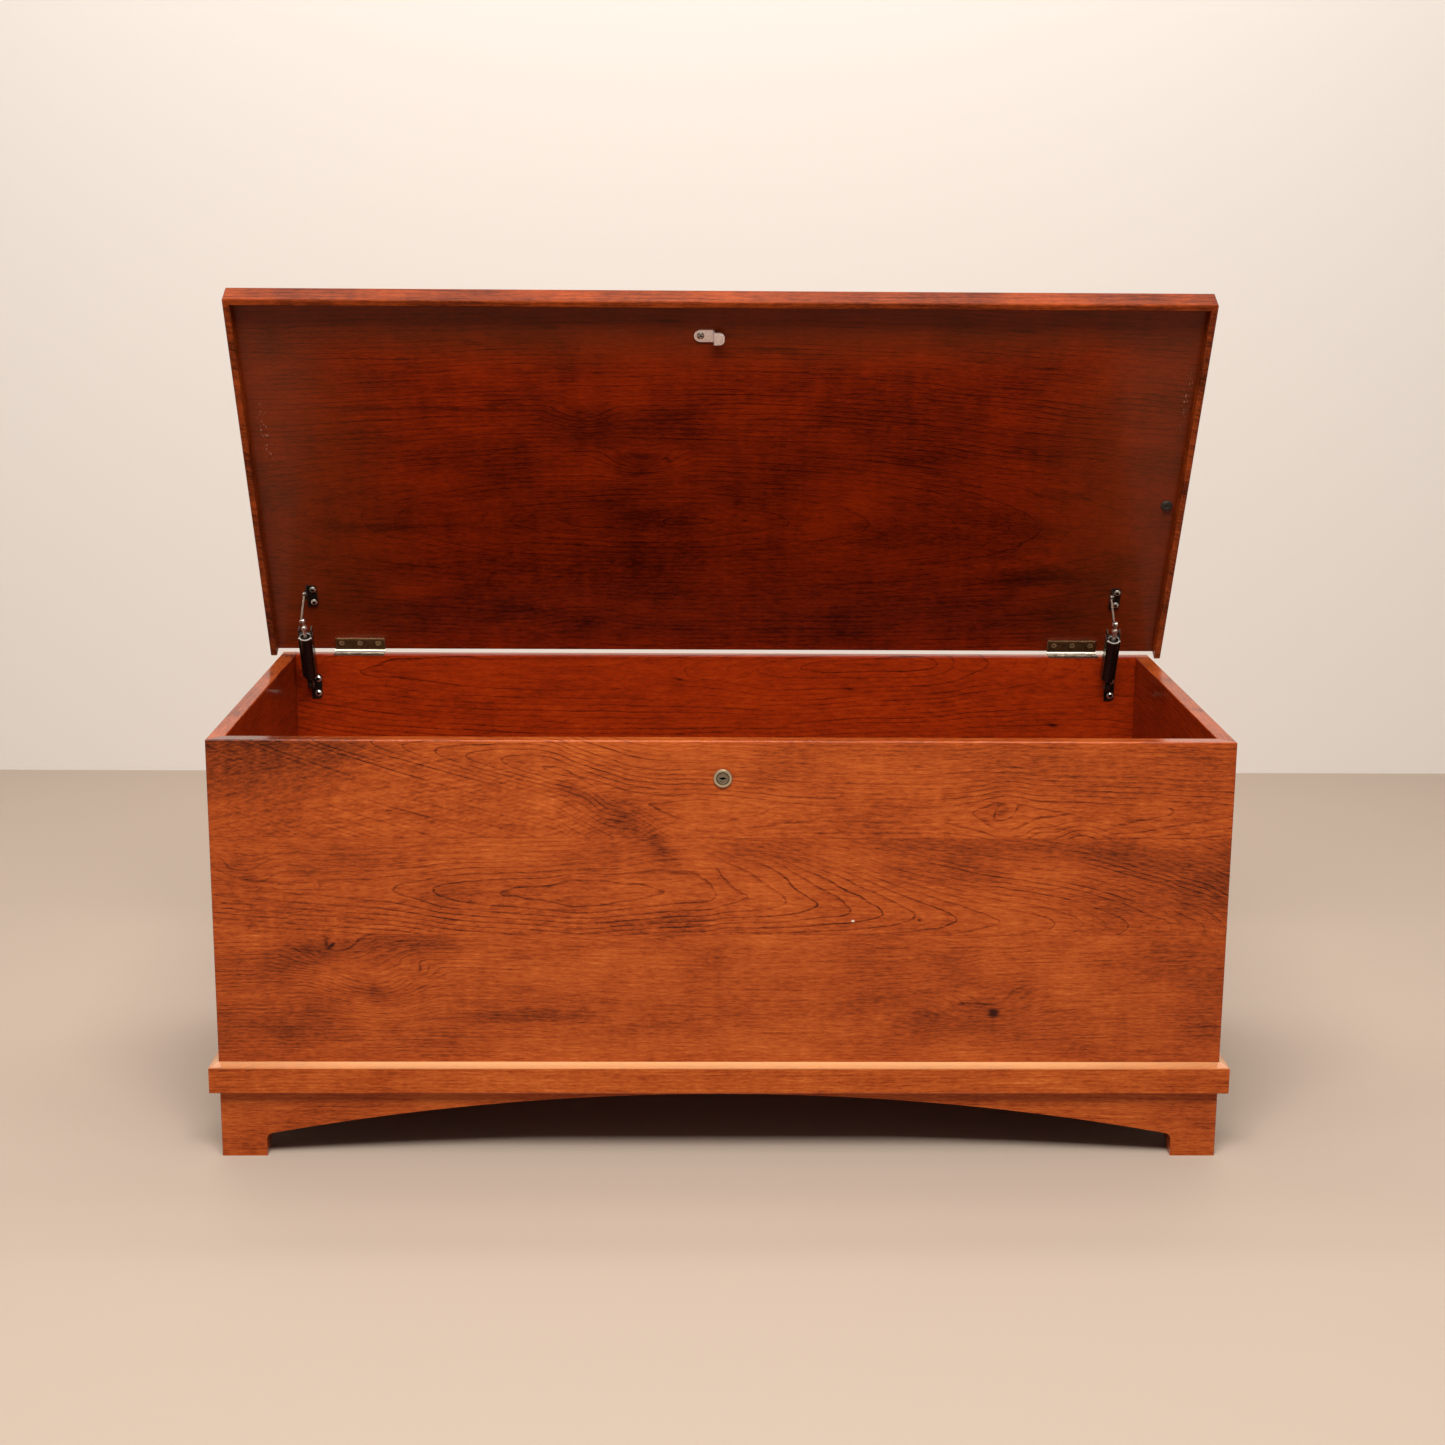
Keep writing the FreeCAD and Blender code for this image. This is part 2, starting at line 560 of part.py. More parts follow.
def lid_bracket(x):
    """plate under the closed lid with one ear at its left edge"""
    y, z = CLOSED_PIVOT
    ear_r = 5.8
    plate = box(x - 1.2, x + 11.8, LID_REAR - 100.8, LID_REAR - 68.6,
                LID_Z - BRACKET_T, LID_Z)
    plate = ease(plate, 5.0, along="z", x=x + 11.8)
    ear = fuse(box(x - 1.2, x + 0.6, y - ear_r, y + ear_r, z, LID_Z - BRACKET_T / 2),
               disc(x - 1.2, x + 0.6, CLOSED_PIVOT, ear_r))
    bracket = fuse(plate, ear).cut(disc(x - 5, x + 5, CLOSED_PIVOT, LID_RIVET_R + 0.02))
    for seat in lid_stay_seats(x):
        bracket = bracket.cut(cylinder(seat - Z_DIR, Z_DIR, 1.75, 4))
    return bracket


def case_rivet(x):
    return fuse(disc(x - 3.25, x + 3.25, CASE_PIVOT, CASE_RIVET_R),
                rivet_head(x - 3.25, CASE_PIVOT, 4.2, 1.5, -1),
                rivet_head(x + 3.25, CASE_PIVOT, 4.2, 1.5, 1))


def link_pin(x):
    return fuse(disc(x - 3.4, x + 1.3, ROD_PIVOT, LINK_PIN_R),
                rivet_head(x - 3.4, ROD_PIVOT, 2.7, 1.3, -1),
                rivet_head(x + 1.3, ROD_PIVOT, 2.7, 1.3, 1))


def lid_rivet(x):
    return fuse(disc(x - 3.45, x + 0.7, CLOSED_PIVOT, LID_RIVET_R),
                rivet_head(x - 3.45, CLOSED_PIVOT, 3.9, 1.3, -1),
                rivet_head(x + 0.65, CLOSED_PIVOT, 3.2, 1.2, 1))


def make_stays():
    for x, (_, label) in zip(STAY_XS, SIDES):
        prefix = "stay_%s_" % label
        save(prefix + "case_bracket", case_bracket(x))
        save(prefix + "barrel", barrel(x))
        save(prefix + "rod", rod(x))
        save(prefix + "rod_nut", rod_nut(x))
        save(prefix + "link", link(x))
        save(prefix + "link_pin", link_pin(x))
        save(prefix + "lid_bracket", swing(lid_bracket(x)))
    save("stay_case_rivets", *[case_rivet(x) for x in STAY_XS])
    save("stay_lid_rivets", *[swing(lid_rivet(x)) for x in STAY_XS])
    save("stay_case_screws", *make_screws(CASE_STAY_SCREWS))
    save("stay_lid_screws", *[swing(s) for s in make_screws(LID_STAY_SCREWS)])


# ---------------------------------------------------------------- lock
def lock_cylinder(y, radius, length):
    return cylinder((0, y, LOCK_Z), Y_DIR, radius, length)


def lock_box(half_x, half_z, y0, y1):
    return box(-half_x, half_x, y0, y1, LOCK_Z - half_z, LOCK_Z + half_z)


def make_lock_body():
    flange_t = 2.4
    flange = ease_rim(lock_cylinder(-flange_t, 10.25, flange_t), 1.0, "Y", -flange_t)
    housing = fuse(flange, lock_cylinder(0, LOCK_R, LOCK_LEN))
    housing = housing.cut(lock_cylinder(-3, 6.05, LOCK_LEN + 10))
    save("lock_housing", housing.cut(cone((0, -2.5, LOCK_Z), Y_DIR, 7.6, 6.6, 1.5)))

    nut = hex_prism(V(0, WALL, LOCK_Z), X_DIR, Z_DIR,
                    12.7 / math.cos(math.radians(30)), 0, (0, 4.0, 0))
    save("lock_nut", nut.cut(lock_cylinder(WALL - 1, LOCK_R + 0.03, 10)))

    # plug with a square inner end, a keyway and a hole for the cam screw
    plug = fuse(lock_cylinder(-1.2, 6.0, LOCK_LEN + 1.5),
                lock_box(3.2, 3.2, LOCK_LEN + 0.3, LOCK_LEN + 2.5))
    plug = plug.cut(lock_box(3.8, 0.85, -3, 16)).cut(lock_box(1.7, 1.5, -3, 16))
    save("lock_plug", plug.cut(lock_cylinder(LOCK_LEN - 8, 1.52, 20)))


def make_lock_cam():
    """hooked cam, drawn locked (arm up) and turned 90 degrees to its unlocked place"""
    cam_y, cam_t = LOCK_LEN + 0.35, 2.0
    # x, height above the lock axis
    outline = [(-7.0, 0), (-6.2, 5.5), (5.9, 24.0), (5.9, 37.9), (-2.0, 37.9), (-2.0, 41.2),
               (-1.4, 41.8), (11.6, 41.8), (13.0, 40.4), (13.0, 20.0), (7.0, 0)]
    cam = prism([(x, cam_y, LOCK_Z + z) for x, z in outline], (0, cam_t, 0))
    cam = fuse(cam, lock_cylinder(cam_y, 7.6, cam_t))
    cam = cam.cut(lock_box(3.25, 3.25, LOCK_LEN, LOCK_LEN + 5))
    cam.rotate(V(0, 0, LOCK_Z), Y_DIR, 90)
    save("lock_cam", cam)

    bolt = fuse(lock_cylinder(LOCK_LEN + 2.5, 5.0, 1.6), lock_cylinder(LOCK_LEN - 6, 1.5, 8.6))
    for half_x, half_z in ((3.6, 0.5), (0.5, 3.6)):       # cross recess
        bolt = bolt.cut(lock_box(half_x, half_z, LOCK_LEN + 3.5, LOCK_LEN + 5))
    save("lock_cam_screw", bolt)


def make_strike():
    """joggled strap under the lid; the cam's finger passes between its free end and
    the lid"""
    half_w, drop = 7.8, 7.4
    y0, y1 = STRIKE_Y - half_w, STRIKE_Y + half_w
    round_x = -32.0 + half_w
    fixed_z, free_z = -STRIKE_T, -drop - STRIKE_T
    # x, height relative to the lid's underside
    step_outline = [(-10.4, 0), (-10.4, fixed_z), (-8.6, free_z), (-6.6, free_z),
                    (-6.6, -drop), (-7.4, -drop), (-9.0, 0)]
    fixed_tab = fuse(box(round_x, -9.6, y0, y1, LID_Z - STRIKE_T, LID_Z),
                     cylinder((round_x, STRIKE_Y, LID_Z - STRIKE_T), Z_DIR,
                              half_w, STRIKE_T))
    step = prism([(x, y0, LID_Z + z) for x, z in step_outline], (0, 2 * half_w, 0))
    free_tab = box(-7.6, 3.6, y0, y1, LID_Z + free_z, LID_Z - drop)
    free_tab = ease(free_tab, 5.8, along="z", x=3.6)
    strike = fuse(fixed_tab, step, free_tab)
    seat = STRIKE_SCREWS["seats"][0]
    strike = strike.cut(cylinder((seat.x, seat.y, LID_Z - 5), Z_DIR, 1.85, 10))
    save("strike_plate", swing(strike))
    save("strike_screw", *[swing(s) for s in make_screws(STRIKE_SCREWS)])


def make_bumper():
    """rubber bumper pressed into the lid underside over the right side wall"""
    height = 2.6
    low_z = LID_Z - height
    bumper = cylinder((BUMPER_X, BUMPER_Y, low_z), Z_DIR, 7.2, height)
    bumper = ease_rim(bumper, 1.6, "Z", low_z)
    bumper = fuse(bumper, cylinder((BUMPER_X, BUMPER_Y, LID_Z), Z_DIR, 2.5, 7.5))
    dimple = cone((BUMPER_X, BUMPER_Y, low_z - 0.01), Z_DIR, 2.2, 1.4, 1.2)
    save("lid_bumper", swing(bumper.cut(dimple)))


# ---------------------------------------------------------------- build
os.makedirs("parts", exist_ok=True)
case_block = case_envelope()
make_front_boards(case_block)
for side_sign, side_label in SIDES:
    make_side_panel(side_sign, side_label, case_block)
make_back_panel()
make_bottom()
make_aprons(case_block)
make_corner_blocks()
make_mouldings()
make_lid_panel()
make_lid_edging()
make_hinges()
make_stays()
make_lock_body()
make_lock_cam()
make_strike()
make_bumper()
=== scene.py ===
# Looks of a long red-brown wooden chest with its lid held open: procedural wood for
# every board, dark brass hinges and lock, black stays, nickel strike, rubber bumper.
# The chest stands on the floor with its long side along x and its front towards -y.
# Shader coordinates are in mm: x from the middle, y from the case's front, z from the floor.
import bpy, math
from functools import reduce
from operator import add
from mathutils import Vector, Matrix

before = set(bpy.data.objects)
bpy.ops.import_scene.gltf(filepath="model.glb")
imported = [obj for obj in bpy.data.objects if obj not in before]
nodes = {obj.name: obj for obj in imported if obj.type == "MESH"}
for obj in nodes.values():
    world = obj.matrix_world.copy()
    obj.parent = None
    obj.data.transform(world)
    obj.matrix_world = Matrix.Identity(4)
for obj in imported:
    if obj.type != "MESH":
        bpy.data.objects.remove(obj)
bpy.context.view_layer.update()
scene = bpy.context.scene

FRONT_Y = 252.6959                  # mm from the origin forward to the case's front face
LID_ANGLE = math.radians(63.5)      # lid angle at rest
PIN_Y, PIN_Z = 502.0, 480.6         # hinge axis
LID_REAR_Y = 500.0                  # rear edge of the shut lid
LID_UNDER_Z = 482.8                 # underside of the shut lid
INNER_X = 540.0                     # inner faces of the side panels
SEAM_1, SEAM_2 = 260.5, 371.0       # seams of the front boards, above the floor
BACK_GRAIN_Y = 481.0                # depth about which the back panel's rings spread
LOCK_Z = 438.4                      # lock axis, above the floor
BARREL_Y, BARREL_Z = 467.79, 443.77         # lower reference point of the stay barrels
BARREL_DIR_Y, BARREL_DIR_Z = -0.44727, 0.89440      # direction of their axis


# ------------------------------------------------------------------ node expressions
class Expr:
    """an output socket that can be used in formulas"""

    def __init__(self, tree, out):
        self.tree, self.out = tree, out

    def calc(self, op, *others, **settings):
        return calc(self.tree, op, self, *others, **settings)

    def __add__(self, other): return self.calc("ADD", other)
    def __sub__(self, other): return self.calc("SUBTRACT", other)
    def __rsub__(self, other): return calc(self.tree, "SUBTRACT", other, self)
    def __mul__(self, other): return self.calc("MULTIPLY", other)
    def __truediv__(self, other): return self.calc("DIVIDE", other)
    def __neg__(self): return self.calc("MULTIPLY", -1.0)
    def fma(self, factor, offset): return self.calc("MULTIPLY_ADD", factor, offset)
    def frac(self): return self.calc("FRACT")
    def floor(self): return self.calc("FLOOR")
    def sqrt(self): return self.calc("SQRT")
    def abs(self): return self.calc("ABSOLUTE")
    def max(self, other): return self.calc("MAXIMUM", other)
    def min(self, other): return self.calc("MINIMUM", other)
    def clamp(self): return self.calc("ADD", 0.0, use_clamp=True)

    def ramp(self, start, end, low=0.0, high=1.0, smooth=True):
        """low up to start, high from end on"""
        return add_node(
            self.tree, "MapRange",
            {"Value": self, "From Min": start, "From Max": end, "To Min": low, "To Max": high},
            "Result", interpolation_type="SMOOTHSTEP" if smooth else "LINEAR", clamp=True)

    def curve(self, points):
        """smooth curve through (x, y) points"""
        x0, x1 = points[0][0], points[-1][0]
        heights = [y for x, y in points]
        y0, y1 = min(heights), max(heights)
        unit = self.ramp(x0, x1, smooth=False)
        result = add_node(self.tree, "FloatCurve", {"Value": unit, "Factor": 1.0}, "Value")
        mapping = result.out.node.mapping
        mapping.use_clip = False
        knees = mapping.curves[0].points
        scaled = [((x - x0) / (x1 - x0), (y - y0) / (y1 - y0)) for x, y in points]
        knees[0].location = scaled[0]
        knees[1].location = scaled[-1]
        for point in scaled[1:-1]:
            knees.new(*point)
        mapping.update()
        return result.fma(y1 - y0, y0)


def plug(value, socket):
    """link an Expr, or set a plain value; colours are given without alpha"""
    if isinstance(value, Expr):
        value.tree.links.new(value.out, socket)
    elif socket.type == "RGBA":
        socket.default_value = tuple(value) + (1.0,)
    else:
        socket.default_value = value


def add_node(tree, kind, inputs=None, output=0, **settings):
    node = tree.nodes.new("ShaderNode" + kind)
    for key, value in settings.items():
        setattr(node, key, value)
    for key, value in (inputs or {}).items():
        plug(value, node.inputs[key])
    return Expr(tree, node.outputs[output])


def calc(tree, op, *values, use_clamp=False):
    return add_node(tree, "Math", dict(enumerate(values)), operation=op, use_clamp=use_clamp)


def vec(*parts):
    tree = next(part.tree for part in parts if isinstance(part, Expr))
    return add_node(tree, "CombineXYZ", dict(enumerate(parts)))


def sep(vector):
    node = add_node(vector.tree, "SeparateXYZ", {0: vector}).out.node
    return [Expr(vector.tree, out) for out in node.outputs]


def noise(vector, scale=1.0, detail=2.0, rough=0.5):
    """noise of a vector, centred on 0, about -0.5 to 0.5"""
    return add_node(vector.tree, "TexNoise",
                    {"Vector": vector, "Scale": scale, "Detail": detail, "Roughness": rough},
                    "Fac") - 0.5


def spot(face, along, across, half_along, half_across, degrees=0.0):
    """smooth bump of height 1 at a centre, falling to 0 on an ellipse"""
    place = {"Vector": face, "Location": (along, across, 0),
             "Rotation": (0, 0, math.radians(degrees)), "Scale": (half_along, half_across, 1)}
    local = add_node(face.tree, "Mapping", place, vector_type="TEXTURE")
    ball = add_node(face.tree, "TexGradient", {0: local}, "Fac", gradient_type="SPHERICAL")
    return ball.ramp(0.0, 1.0)


def mix(factor, first, second, mode="MIX"):
    return add_node(factor.tree, "Mix", {0: factor, 6: first, 7: second}, 2,
                    data_type="RGBA", blend_type=mode)


def colour_ramp(value, stops):
    result = add_node(value.tree, "ValToRGB", {0: value})
    elements = result.out.node.color_ramp.elements
    for i in (0, -1):
        elements[i].position, elements[i].color = stops[i][0], stops[i][1] + (1,)
    for position, colour in stops[1:-1]:
        elements.new(position).color = colour + (1,)
    return result


def bump(height, distance, strength):
    return add_node(height.tree, "Bump",
                    {"Strength": strength, "Distance": distance, "Height": height})


def new_material(name):
    material = bpy.data.materials.new(name)
    material.use_nodes = True
    tree = material.node_tree
    tree.nodes.clear()
    output = tree.nodes.new("ShaderNodeOutputMaterial")
    shader = tree.nodes.new("ShaderNodeBsdfPrincipled")
    tree.links.new(shader.outputs[0], output.inputs[0])
    return material, tree, shader


def set_shader(shader, **inputs):
    for key, value in inputs.items():
        plug(value, shader.inputs[key.replace("_", " ")])


def case_mm(tree):
    """position in mm: x, y from the case front, z from the floor"""
    position = add_node(tree, "TexCoord", output="Object")
    return add_node(tree, "Mapping", {"Scale": (1000, 1000, 1000), "Location": (0, FRONT_Y, 0),
                                      "Vector": position})


def lid_mm(point):
    """x, run (mm from the lid's rear edge) and rise (mm above its underside), from case mm"""
    x, y, z = sep(point)
    y, z = y - PIN_Y, z - PIN_Z
    cos, sin = math.cos(LID_ANGLE), math.sin(LID_ANGLE)
    shut_y = y * cos - z * sin
    shut_z = y * sin + z * cos
    return x, (LID_REAR_Y - PIN_Y) - shut_y, shut_z + (PIN_Z - LID_UNDER_Z)


# ------------------------------------------------------------------ wood
# (position, colour) from dark late wood to bright early wood; INNER is a deeper red
OUTER = [(0.0, (0.030, 0.0048, 0.0014)), (0.18, (0.098, 0.0140, 0.0025)),
         (0.50, (0.338, 0.0545, 0.0078)), (0.78, (0.49, 0.106, 0.0180)),
         (1.0, (0.62, 0.176, 0.038))]
INNER = [(0.0, (0.020, 0.0015, 0.0004)), (0.18, (0.075, 0.005, 0.0006)),
         (0.50, (0.275, 0.020, 0.0010)), (0.78, (0.40, 0.043, 0.0025)),
         (1.0, (0.50, 0.075, 0.006))]
BROAD = 150     # marks with a larger product of half sizes get torn edges


def darken(value, face, torn, marks, fibres):
    """darker patches: the broad ones ease off as they overlap, the small ones simply add"""
    broad = [spot(torn, along, across, long * 1.25, wide * 1.25, degrees) * (dark * 0.60)
             for along, across, long, wide, degrees, dark in marks if long * wide > BROAD]
    small = [spot(face, *ellipse) * (dark * 0.62)
             for *ellipse, dark in marks if ellipse[2] * ellipse[3] <= BROAD]
    broad = reduce(add, broad)
    broad = broad / (broad * 2.6 + 1.0) * 1.12
    value = value - broad * (fibres * 1.6 + 1.0)
    return value - reduce(add, small) if small else value


def wood(name, coords, seed, field=None, knots=(), marks=(), spacing=5.0, ring=0.35, tone=0.0,
         fibre=1.0, mottle=1.0, gloss=1.0, stops=OUTER, wander=None, faint=0.15,
         pick=(-0.22, 0.25), core=None, mask=None, band=None, outside=None, extra=None):
    """Varnished wood.

    coords: axes (along the grain, across it on the shown face), or "lid" for the lid's own
    field(along, across, depth): ring distance in mm, and how fast it changes (or None)
    knots: rings pushed outwards; marks: darker patches; see the tables
    spacing, wander: mm between rings and mm of their slow drift
    ring, fibre, mottle, gloss: strengths; tone: added brightness
    faint, pick: strength of the weakest rings, and the noise range that picks them
    core: (start, end, strength) of the ring distances where all rings show
    mask(along, across): scales the rings; band(along, across, depth): adds brightness
    outside: depths where the colour passes from stops to OUTER
    extra(along, across, depth, face, colour): last change of the colour
    """
    material, tree, shader = new_material(name)
    point = case_mm(tree)
    if coords == "lid":
        along, across, depth = lid_mm(point)
    else:
        axes = dict(zip("xyz", sep(point)))
        along, across = axes.pop(coords[0]), axes.pop(coords[1])
        depth, = axes.values()
    face = vec(along, across, 0.0)
    block = (along, across, depth)

    def stretch(parts, per_mm, seeds):
        """scale each coordinate and shift it by a multiple of the seed"""
        return vec(*[part * scale + seed * times if times else part * scale
                     for part, scale, times in zip(parts, per_mm, seeds)])

    def layer(parts, per_mm, seeds=(1, 0, 0), detail=2.0, rough=0.5):
        return noise(stretch(parts, per_mm, seeds), 1.0, detail, rough)

    # growth rings, with a slow and a quicker wander of the grain
    if field is None:
        rings, change = across + depth * 0.6 + 400.0, None
    else:
        rings, change = field(*block)
    for *ellipse, push in knots:
        rings = rings + spot(face, *ellipse) * push
    slow = layer(block, (0.0035, 0.013, 0.006), (1, 0, 1))
    quick = layer(block, (0.02, 0.05, 0.02), (2, 0, 0), 3.0, 0.55)
    drift = slow * (spacing * 3.0 if wander is None else wander) + quick * (spacing * 0.6)
    # fibres run along the board and lean a little with the rings
    if field is None:
        grain = rings + drift
    else:
        grain = drift + rings * 0.28 + (across + depth * 0.6) * 0.9
    rings = rings + drift
    count = rings / spacing
    index, phase = count.floor(), count.frac()
    # a line keeps about the same width whether the rings are close together or far apart
    if change is None:
        width = calc(tree, "ADD", min(0.36, 1.9 / spacing), 0.0)
    else:
        width = change.max(0.0).sqrt().min(1.0) * (2.3 / spacing)
    line = (phase.ramp(1.0 - width, 1.0 - width * 0.35)
            * phase.ramp(1.0 - width * 0.25, 1.0, 1.0, 0.0))
    # each ring has its own strength
    strength = layer((index, along, depth), (7.13, 0.004, 0.01), detail=1.0)
    strength = strength.ramp(*pick, faint, 1.0)
    if core is not None:
        strength = strength.max(rings.ramp(*core, 0.0))
    if mask is not None:
        strength = strength * mask(along, across)
    threads = (along, grain, depth)
    breaks = layer(threads, (0.045, 0.25, 0.05), (0, 0, 1), 2.0, 0.6)
    lines = line * strength * breaks.ramp(-0.25, 0.12, 0.35, 1.0)
    slope = (phase - 0.5) * strength

    # fibres, pores and mottling: frequencies per mm along, across and in depth
    coarse = layer(threads, (0.020, 0.24, 0.24), detail=5.0, rough=0.68)
    fine = layer(threads, (0.095, 0.50, 0.50), detail=4.0, rough=0.70)
    pores = layer(threads, (0.11, 0.62, 0.62)).ramp(0.10, 0.26)
    blotch = layer(block, (0.009, 0.020, 0.012), (1, 0, 1), 3.0, 0.55)
    cross = layer(block, (0.055, 0.008, 0.02))

    # brightness, as a place on the colour ramp: weights of the layers
    value = (coarse * (0.74 * fibre) + fine * (0.95 * fibre) + blotch * (0.55 * mottle)
             + cross * (0.16 * mottle) + slope * (-0.10 * ring) + (0.5 + tone))
    value = value - lines * (0.60 * ring) - pores * (0.15 * fibre)
    if band is not None:
        value = value + band(*block)
    if marks:
        # broad patches are broken up along the fibres
        jag = layer(block, (0.035, 0.16, 0.1), detail=3.0, rough=0.6)
        torn = vec(along + jag * 16.0, across + jag * 7.0, 0.0)
        value = darken(value, face, torn, marks, coarse)
    value = value.clamp()
    colour = colour_ramp(value, stops)
    if outside is not None:
        colour = mix(depth.ramp(*outside), colour, colour_ramp(value, OUTER))
    if extra is not None:
        colour = extra(*block, face, colour)

    # varnish: stronger at grazing angles, uneven in gloss, with a faint orange peel
    facing = add_node(tree, "LayerWeight", {"Blend": 0.5}, "Facing")
    metres = stretch(block, (0.001, 0.001, 0.001), (3.1, 1, 0.7))
    relief = coarse * 0.5 + fine * 0.3 - lines * 0.5 - pores * 0.8
    set_shader(shader, Base_Color=colour, Roughness=0.5, Specular_IOR_Level=0.06,
               Coat_Weight=facing.ramp(0.05, 0.45, 0.18 * gloss, 1.0 * gloss), Coat_IOR=1.5,
               Coat_Roughness=noise(metres, scale=9.0).ramp(-0.3, 0.3, 0.10, 0.20),
               Normal=bump(relief, distance=0.00012, strength=0.6),
               Coat_Normal=bump(noise(metres, scale=260.0, detail=1.0),
                                distance=0.00004, strength=0.5))
    return material


# Ring fields. AXIS: (along, across) points of the figure's axis. RINGS: (along, mm) ring
# distance on that axis. KNOTS: centre along and across, half sizes, degrees, mm of push.
# MARKS: centre along and across, half sizes, degrees, darkening. All in mm.
def flame(on_axis, off, radius, depth):
    """rings that cross the axis in a curve of the given radius"""
    change = (off * off) / (off * off + radius * radius) + 0.05
    return on_axis + (off * off + radius * radius).sqrt() + depth * 0.35, change


def bowl(on_axis, off, depth_term):
    """rings cut from nested bowls"""
    square = on_axis * on_axis + off * off + depth_term
    return square.sqrt(), (off * off + on_axis * on_axis * 0.03) / square


# upper front board: flame figure on the left, long eye on the right
UPPER_AXIS = [
    (-570, 523), (-480, 498), (-400, 482), (-307, 467), (-236, 457), (-190, 449), (-158, 435),
    (-120, 420), (-89, 410), (-40, 404), (40, 402), (308, 400), (470, 402), (570, 404)]
UPPER_RINGS = [
    (-570, 62), (-480, 50), (-400, 38), (-307, 25), (-271, 20), (-236, 15), (-198, 11),
    (-171, 9.5), (-139, 8), (-89, 6.0), (-66, 4.9), (-20, 2.0), (37, 5), (70, 7), (130, 8.2),
    (200, 8.6), (240, 8.4), (264, 7.0), (285, 4.5), (308, 1), (345, 5), (395, 6.5), (461, 8.4),
    (500, 11), (540, 13), (570, 15)]
UPPER_KNOTS = [
    (-150, 418, 46, 22, -30, 9.0), (-95, 385, 50, 26, -35, 12.0), (308, 400, 30, 16, 8, 7.0),
    (392, 374, 42, 26, 0, 10.0), (350, 376, 22, 14, 0, 5.0)]
UPPER_MARKS = [
    (-103, 382, 52, 30, -38, 0.34), (-82, 366, 36, 22, -30, 0.28), (-165, 420, 22, 16, -40, 0.25),
    (-143, 415, 36, 7.0, -24, 0.30), (-157, 424, 18, 9, -40, 0.26), (-120, 398, 40, 12, -36, 0.22),
    (306, 401, 13, 5.5, 20, 0.50), (308, 401, 60, 24, 5, 0.14), (-470, 428, 80, 12, -9, 0.16),
    (-430, 445, 60, 14, -14, 0.12), (130, 420, 4.5, 2.6, 15, 0.4), (-540, 460, 120, 70, -8, 1.10),
    (-470, 480, 150, 24, -6, 0.42), (330, 462, 120, 26, 0, 0.12), (520, 420, 60, 60, 0, 0.10),
    (378, 374, 20, 14, 0, 0.18), (426, 376, 12, 18, 0, 0.16), (-345, 398, 60, 5, -8, 0.22),
    (-240, 384, 90, 5, -4, 0.18), (90, 440, 110, 22, 0, 0.07), (200, 470, 220, 12, 0, 0.08)]


def upper_rings(x, z, y):
    off = z - x.curve(UPPER_AXIS)
    # below the axis the rings open out left of a slanting line and close up right of it
    below = (-off).ramp(0.0, 28.0)
    right = (x + (z - 410.0) * 0.55).ramp(-190.0, -70.0)
    off = off - below * (1.0 - right) * 6.0 + below * right * 8.0
    return flame(x.curve(UPPER_RINGS), off, 14.0, y)


def upper_mask(x, z):
    return (x.curve([(-570, 0.4), (-430, 0.7), (-330, 1.0), (-150, 1.0), (-60, 0.7), (60, 0.6),
                     (200, 0.5), (250, 0.8), (330, 0.95), (480, 0.8), (570, 0.5)])
            * (z + x * 0.12).ramp(375.0, 415.0, 0.55, 1.0)
            * (z + x.min(0.0) * 0.5).ramp(415.0, 445.0, 1.0, 0.5))


# middle front board
MIDDLE_AXIS = [
    (-570, 322), (-450, 314), (-341, 311), (-194, 308), (-40, 309), (20, 304), (89, 296),
    (163, 287), (244, 279), (350, 274), (443, 271), (530, 266), (570, 264)]
MIDDLE_RINGS = [
    (-570, 22), (-450, 20), (-380, 18), (-341, 15), (-298, 10), (-230, 6.5), (-194, 5), (-150, 2),
    (-106, 5), (-60, 7.5), (-18, 10), (5, 15), (55, 20), (89, 25), (128, 30), (163, 35),
    (199, 40), (244, 45), (286, 50), (350, 55), (393, 60), (419, 65), (443, 70), (465, 75),
    (492, 80), (505, 85), (530, 90), (544, 95), (556, 100), (570, 106)]
MIDDLE_SWIRL = [    # x, mm by which the rings above the axis are pulled
    (-570, 0), (-260, 0), (-160, -4), (-100, 14), (-40, 34), (10, 38), (90, 26), (300, 8),
    (570, 0)]
MIDDLE_KNOTS = [(-526, 333, 52, 26, 0, 11.0), (-470, 318, 60, 10, -6, 4.0)]
MIDDLE_MARKS = [
    (-79, 366, 56, 18, -38, 0.32), (-60, 352, 34, 16, -45, 0.26), (-64, 354, 34, 8.0, -50, 0.26),
    (-70, 345, 22, 18, 0, 0.14), (-85, 330, 34, 12, -35, 0.13), (-497, 320, 46, 3.0, -6, 0.40),
    (-520, 326, 20, 8, -30, 0.18), (370, 356, 250, 20, -2, 0.30), (240, 364, 180, 12, 0, 0.24),
    (500, 330, 130, 40, -3, 0.20), (60, 352, 90, 18, -10, 0.16), (218, 278, 5, 3, 0, 0.5),
    (-280, 303, 40, 16, 0, 0.10), (-355, 275, 100, 10, -8, 0.14), (545, 320, 60, 46, 0, 0.16),
    (-70, 275, 80, 16, 10, 0.13), (-20, 272, 50, 12, 20, 0.10), (-249, 288, 9, 9, 0, 0.15),
    (-530, 290, 70, 26, 0, 0.10)]


def middle_rings(x, z, y):
    off = z - x.curve(MIDDLE_AXIS)
    off = off - off.ramp(0.0, 45.0) * x.curve(MIDDLE_SWIRL) * 0.55
    return flame(x.curve(MIDDLE_RINGS), off, 23.0, y)


